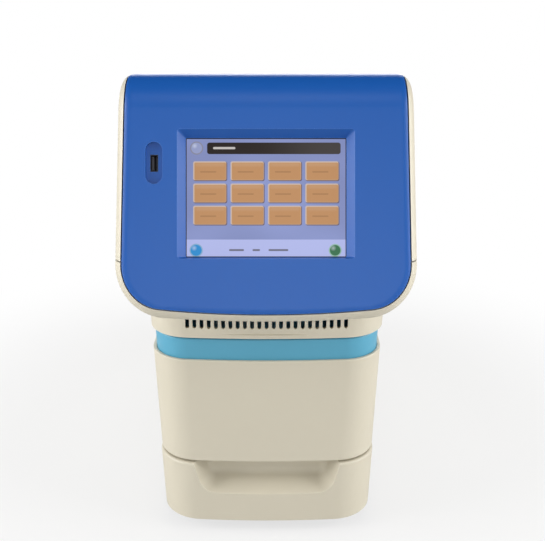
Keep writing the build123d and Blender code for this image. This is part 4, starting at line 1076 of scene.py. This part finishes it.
CHASSIS_PARTS = PlainAssembly("chassis", (
    (GREY_COAT, ("rear_panel",)),
    (RUBBER, ("rubber_feet",)),
    (ZINC, ("base_pan", "side_frame_left", "side_frame_right")),
))
DISPLAY = PlainAssembly("display", (
    (PICTURE, ("touch_glass",)),
    (BLACK, ("display_module",)),
    (ZINC, ("display_bracket",)),
    (BOARD, ("display_board",)),
    (DARK_STEEL, ("usb_port",)),
))
SAMPLE_DRAWER = PlainAssembly("sample drawer", (
    (ZINC, ("drawer_tray",)),
    (BRIGHT, ("slide_outer", "slide_middle", "slide_inner")),
    (BLASTED, ("sample_block",)),
    (ALUMINIUM, ("heat_sink",)),
    (PALE_FOAM, ("block_collar",)),
    (CERAMIC, ("peltier_modules",)),
    (BLACK, ("block_fan_housing", "block_fan_rotor")),
))
HEATED_LID = PlainAssembly("heated lid", (
    (ALUMINIUM, ("heated_plate", "motor_pulley")),
    (ANODISED, ("lid_frame", "lid_motor")),
    (BRASS, ("lid_nuts",)),
    (BRIGHT, ("guide_rods", "lead_screw_left", "lead_screw_right")),
    (RUBBER, ("timing_belt",)),
))
OPTICS = PlainAssembly("optics", (
    (ZINC, ("optics_deck", "optics_cover", "optics_bench")),
    (ANODISED, ("optics_housing", "filter_wheel", "wheel_motor", "camera_module", "led_lamp")),
    (LENS, ("field_lens",)),
    (FILTER, ("filters",)),
    (MIRROR, ("fold_mirror",)),
))
ELECTRONICS = PlainAssembly("electronics", (
    (ZINC, ("power_supply", "serial_port")),
    (BOARD, ("main_board",)),
    (BLACK, ("power_inlet", "switch_housing", "power_rocker", "network_port")),
    (BLACK, ("exhaust_fan_housing", "exhaust_fan_rotor")),
    (DARK_STEEL, ("rear_usb_port",)),
))


@dataclass
class Housings:
    """The mouldings that show: the head, the drawer and the base."""

    name: str = "housings"
    soften: float = 0.00045
    cream: tuple[str, ...] = (
        "base_housing", "side_cover_left", "side_cover_right",
        "chin_housing", "upper_cover", "drawer_shell",
    )

    def build(self) -> None:
        """Softens and dresses each moulding."""
        for node in self.cream:
            self._skin(node, CREAM, "cream_housing")
        self._skin("front_bezel", BLUE, "blue_bezel")
        self._skin("drawer_deck", TEAL, "teal_deck")

    def _skin(self, node: str, finish: Finish, slot: str) -> None:
        """Stands a softened skin in for one CAD node.

        Args:
            node: The CAD node.
            finish: Its finish.
            slot: Its material slot; not used.
        """
        body = frame["nodes"][node]["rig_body"]
        skin = Modeller.softened_copy(node, self.soften)
        paint.dress(skin, finish)
        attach(skin, body)
        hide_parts(node)
        log.info("skin of %s: %d faces", node, len(skin.data.polygons))


@dataclass
class RearDetails:
    """Pieces of the rear panel that are too fine for the CAD nodes."""

    name: str = "rear details"
    outer_y: float = 0.2515
    fan_z: float = 0.190
    guard_rings: int = 5
    guard_pitch: float = 0.009
    guard_wire: float = 0.0008
    ring_sides: int = 56
    wire_sides: int = 8
    rod_sides: int = 12
    head_rise: float = 0.0018
    recess_width: float = 0.0007
    recess_length: float = 0.0034
    service_z: float = 0.046
    inlet_x: float = -0.060
    pin_size: Point = (0.0022, 0.0138, 0.0042)
    pin_depth: float = 0.0087
    pin_rounding: float = 0.0004
    pin_places: tuple[Pair, ...] = ((-0.007, -0.002), (0.007, -0.002), (0.0, 0.002))
    network_x: float = 0.030
    contacts: int = 8
    contact_pitch: float = 0.00102
    contact_size: Point = (0.00045, 0.0085, 0.00045)
    contact_depth: float = 0.0065
    contact_rise: float = 0.0034
    contact_tilt: float = math.radians(-12.0)
    contact_rounding: float = 0.0001

    def build(self) -> None:
        """Adds every detail."""
        self._guard()
        self._screws()
        self._inlet_pins()
        self._network_contacts()

    def _guard(self) -> None:
        """Welded wire guard: round rings on a cross."""
        middle = self.outer_y + self.guard_wire
        pieces = []
        for ring in range(1, self.guard_rings + 1):
            bpy.ops.object.select_all(action="DESELECT")
            bpy.ops.mesh.primitive_torus_add(
                major_radius=ring * self.guard_pitch - self.guard_wire, minor_radius=self.guard_wire,
                major_segments=self.ring_sides, minor_segments=self.wire_sides,
                location=(0.0, middle, self.fan_z), rotation=(math.pi / 2, 0.0, 0.0),
            )
            pieces.append(bpy.context.object)
        reach = 2 * self.guard_rings * self.guard_pitch
        for lean in (math.pi / 4, -math.pi / 4):
            bpy.ops.object.select_all(action="DESELECT")
            bpy.ops.mesh.primitive_cylinder_add(
                radius=self.guard_wire, depth=reach, vertices=self.rod_sides,
                location=(0.0, middle, self.fan_z), rotation=(0.0, lean, 0.0),
            )
            pieces.append(bpy.context.object)
        guard = Modeller.joined(pieces, "wire_guard")
        bpy.ops.object.shade_smooth_by_angle(angle=SMOOTH_ANGLE)
        self._seat(guard, BRIGHT, "bright_steel", "fan_guard")

    def _screws(self) -> None:
        """Pan heads with a cross recess."""
        screws = Modeller.softened_copy("rear_screws", 0.0)
        cutters = []
        for x, z in self._head_centres(screws):
            for width, height in (
                (self.recess_width, self.recess_length), (self.recess_length, self.recess_width)
            ):
                middle = (x, self.outer_y + self.head_rise, z)
                cutters.append(Modeller.block(middle, (width, self.head_rise, height)))
        Modeller.cut(screws, Modeller.joined(cutters, "recess_cutter"))
        screws.name = "cross_head_screws"
        self._seat(screws, BRIGHT, "bright_steel", "rear_screws")

    @staticmethod
    def _head_centres(screws: bpy.types.Object, apart: float = 0.010) -> list[Pair]:
        """Finds the middle of each screw head.

        Args:
            screws: All the heads in one mesh.
            apart: Least distance between two heads, in metres.

        Returns:
            Place of each head across and up the panel.
        """
        heads: list[list[Vector]] = []
        for vertex in screws.data.vertices:
            for head in heads:
                if (head[0] - vertex.co).length < apart:
                    head.append(vertex.co)
                    break
            else:
                heads.append([vertex.co])
        centres = []
        for head in heads:
            across = [point.x for point in head]
            up = [point.z for point in head]
            centres.append(((min(across) + max(across)) / 2, (min(up) + max(up)) / 2))
        return centres

    def _inlet_pins(self) -> None:
        """Three flat metal pins in the power inlet."""
        middle = self.outer_y - self.pin_depth
        pins = [
            Modeller.block((self.inlet_x + x, middle, self.service_z + z), self.pin_size)
            for x, z in self.pin_places
        ]
        metal = Modeller.joined(pins, "inlet_pins")
        Modeller.rounded(metal, self.pin_rounding)
        self._seat(metal, BRIGHT, "bright_steel")

    def _network_contacts(self) -> None:
        """Sprung contacts under the roof of the network socket."""
        first = self.network_x - self.contact_pitch * (self.contacts - 1) / 2
        middle, height = self.outer_y - self.contact_depth, self.service_z + self.contact_rise
        wires = [
            Modeller.block(
                (first + self.contact_pitch * place, middle, height),
                self.contact_size, (self.contact_tilt, 0.0, 0.0),
            )
            for place in range(self.contacts)
        ]
        contacts = Modeller.joined(wires, "network_contacts")
        Modeller.rounded(contacts, self.contact_rounding, 1)
        self._seat(contacts, BRASS, "brass")

    @staticmethod
    def _seat(piece: bpy.types.Object, finish: Finish, slot: str, node: Optional[str] = None) -> None:
        """Dresses a piece and puts it on the chassis.

        Args:
            piece: The piece.
            finish: Its finish.
            slot: Its material slot; not used.
            node: The CAD node that it stands in for, if there is one.
        """
        paint.dress(piece, finish)
        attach(piece, Body.CHASSIS.value)
        if node is not None:
            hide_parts(node)
        log.info("%s: %d faces", piece.name, len(piece.data.polygons))


@dataclass(frozen=True)
class Softbox:
    """A square area lamp."""

    name: str
    place: Point
    aim: Point
    size: float
    power: float

    def build(self) -> None:
        """Adds the lamp, turned to its aim."""
        light = bpy.data.lights.new(self.name, "AREA")
        light.shape = "SQUARE"
        light.size = self.size
        light.energy = self.power
        lamp = bpy.data.objects.new(self.name, light)
        lamp.location = self.place
        toward = Vector(self.aim) - Vector(self.place)
        lamp.rotation_euler = toward.to_track_quat("-Z", "Y").to_euler()
        bpy.context.scene.collection.objects.link(lamp)


@dataclass
class Studio:
    """Pale floor, soft lights and the camera."""

    name: str = "studio"
    camera_place: Point = (0.0052, -0.943, 0.535)
    camera_pitch: float = 20.0
    lens: float = 61.04
    sensor: float = 36.0
    floor_half: float = 12.0
    floor_drop: float = 0.0002
    floor_tones: Pair = (0.62, 0.66)
    floor_mottle: float = 3.0
    floor_roughness: float = 0.9
    floor_specular: float = 0.2
    shadow_reach: Pair = (0.25, 0.60)
    near_white: float = 0.70
    fill: float = 0.34
    horizon_glow: float = 0.80
    ceiling_glow: float = 0.03
    back_glow: float = 0.25
    ceiling_rise: Pair = (0.10, 0.60)
    back_turn: Pair = (0.0, 0.7)
    softboxes: tuple[Softbox, ...] = (
        Softbox("left_softbox", (-2.0, -0.55, 0.95), (0.0, -0.15, 0.25), 1.4, 42.0),
        Softbox("right_softbox", (2.0, -0.55, 0.95), (0.0, -0.15, 0.25), 1.4, 40.0),
        Softbox("upper_softbox", (0.0, -1.2, 2.2), (0.0, -0.15, 0.25), 0.9, 4.0),
        Softbox("rear_softbox", (0.0, 2.2, 0.60), (0.0, 0.0, 0.20), 1.3, 26.0),
        Softbox("front_softbox", (0.0, -2.1, 0.75), (0.0, -0.2, 0.3), 1.2, 7.0),
    )

    def build(self) -> None:
        """Builds the studio."""
        self._world()
        self._floor()
        for softbox in self.softboxes:
            softbox.build()
        self._camera()

    def _world(self) -> None:
        """White for the camera, a darker ceiling for reflections and a plain level for the light."""
        world = bpy.data.worlds.new("surroundings")
        world.use_nodes = True
        graph = Graph(world.node_tree)
        background = world.node_tree.nodes["Background"]
        path = graph.node("ShaderNodeLightPath")
        direction = graph.node("ShaderNodeSeparateXYZ")
        graph.feed(direction.inputs[0], graph.node("ShaderNodeTexCoord").outputs["Generated"])
        height = graph.remap(
            direction.outputs["Z"], *self.ceiling_rise, self.horizon_glow, self.ceiling_glow
        )
        behind = graph.remap(direction.outputs["Y"], *self.back_turn, 1.0, self.back_glow)
        change = graph.math("SUBTRACT", graph.math("MULTIPLY", height, behind), self.fill)
        reflected = graph.math(
            "MAXIMUM", path.outputs["Is Glossy Ray"], path.outputs["Is Transmission Ray"]
        )
        around = graph.math("ADD", self.fill, graph.math("MULTIPLY", reflected, change))
        background.inputs["Color"].default_value = opaque((1.0, 1.0, 1.0))
        strength = graph.math("MAXIMUM", around, path.outputs["Is Camera Ray"])
        graph.feed(background.inputs["Strength"], strength)
        bpy.context.scene.world = world

    def _floor(self) -> None:
        """Pale floor that keeps the object's shadow and fades to plain white away from it."""
        bpy.ops.object.select_all(action="DESELECT")
        below = (0.0, 0.0, -self.floor_drop)
        bpy.ops.mesh.primitive_plane_add(size=2 * self.floor_half, location=below)
        floor = bpy.context.object
        floor.name = "studio_floor"
        material, graph, shader = new_material("pale_floor")
        mottle = graph.noise(graph.place(), self.floor_mottle, 2.0)
        shader.inputs["Roughness"].default_value = self.floor_roughness
        shader.inputs["Specular IOR Level"].default_value = self.floor_specular
        darker, paler = (opaque((tone, tone, tone)) for tone in self.floor_tones)
        graph.feed(shader.inputs["Base Color"], graph.mix(mottle, darker, paler))
        white = graph.node("ShaderNodeEmission")
        away = graph.vector("LENGTH", graph.place()).outputs["Value"]
        far = graph.remap(away, *self.shadow_reach, self.near_white, 1.0)
        seen = graph.math("MULTIPLY", graph.node("ShaderNodeLightPath").outputs["Is Camera Ray"], far)
        blend = graph.node("ShaderNodeMixShader")
        graph.feed(blend.inputs[0], seen)
        graph.feed(blend.inputs[1], shader.outputs[0])
        graph.feed(blend.inputs[2], white.outputs[0])
        graph.feed(material.node_tree.nodes["Material Output"].inputs["Surface"], blend.outputs[0])
        floor.data.materials.append(material)

    def _camera(self) -> None:
        """Adds the camera at the photograph's angle."""
        camera = bpy.data.objects.new("camera", bpy.data.cameras.new("camera"))
        camera.data.lens = self.lens
        camera.data.sensor_width = self.sensor
        camera.location = self.camera_place
        camera.rotation_euler = (math.radians(90.0 - self.camera_pitch), 0.0, 0.0)
        bpy.context.scene.collection.objects.link(camera)
        bpy.context.scene.camera = camera
        bpy.context.scene.view_settings.view_transform = "Standard"


def main() -> None:
    """Builds every sub-assembly and the studio."""
    logging.basicConfig(level=logging.INFO, format="%(message)s")
    plain = (CHASSIS_PARTS, DISPLAY, SAMPLE_DRAWER, HEATED_LID, OPTICS, ELECTRONICS)
    for assembly in (Housings(), *plain, RearDetails(), Studio()):
        assembly.build()
        log.info("%s: built", assembly.name)


if __name__ == "__main__":
    main()
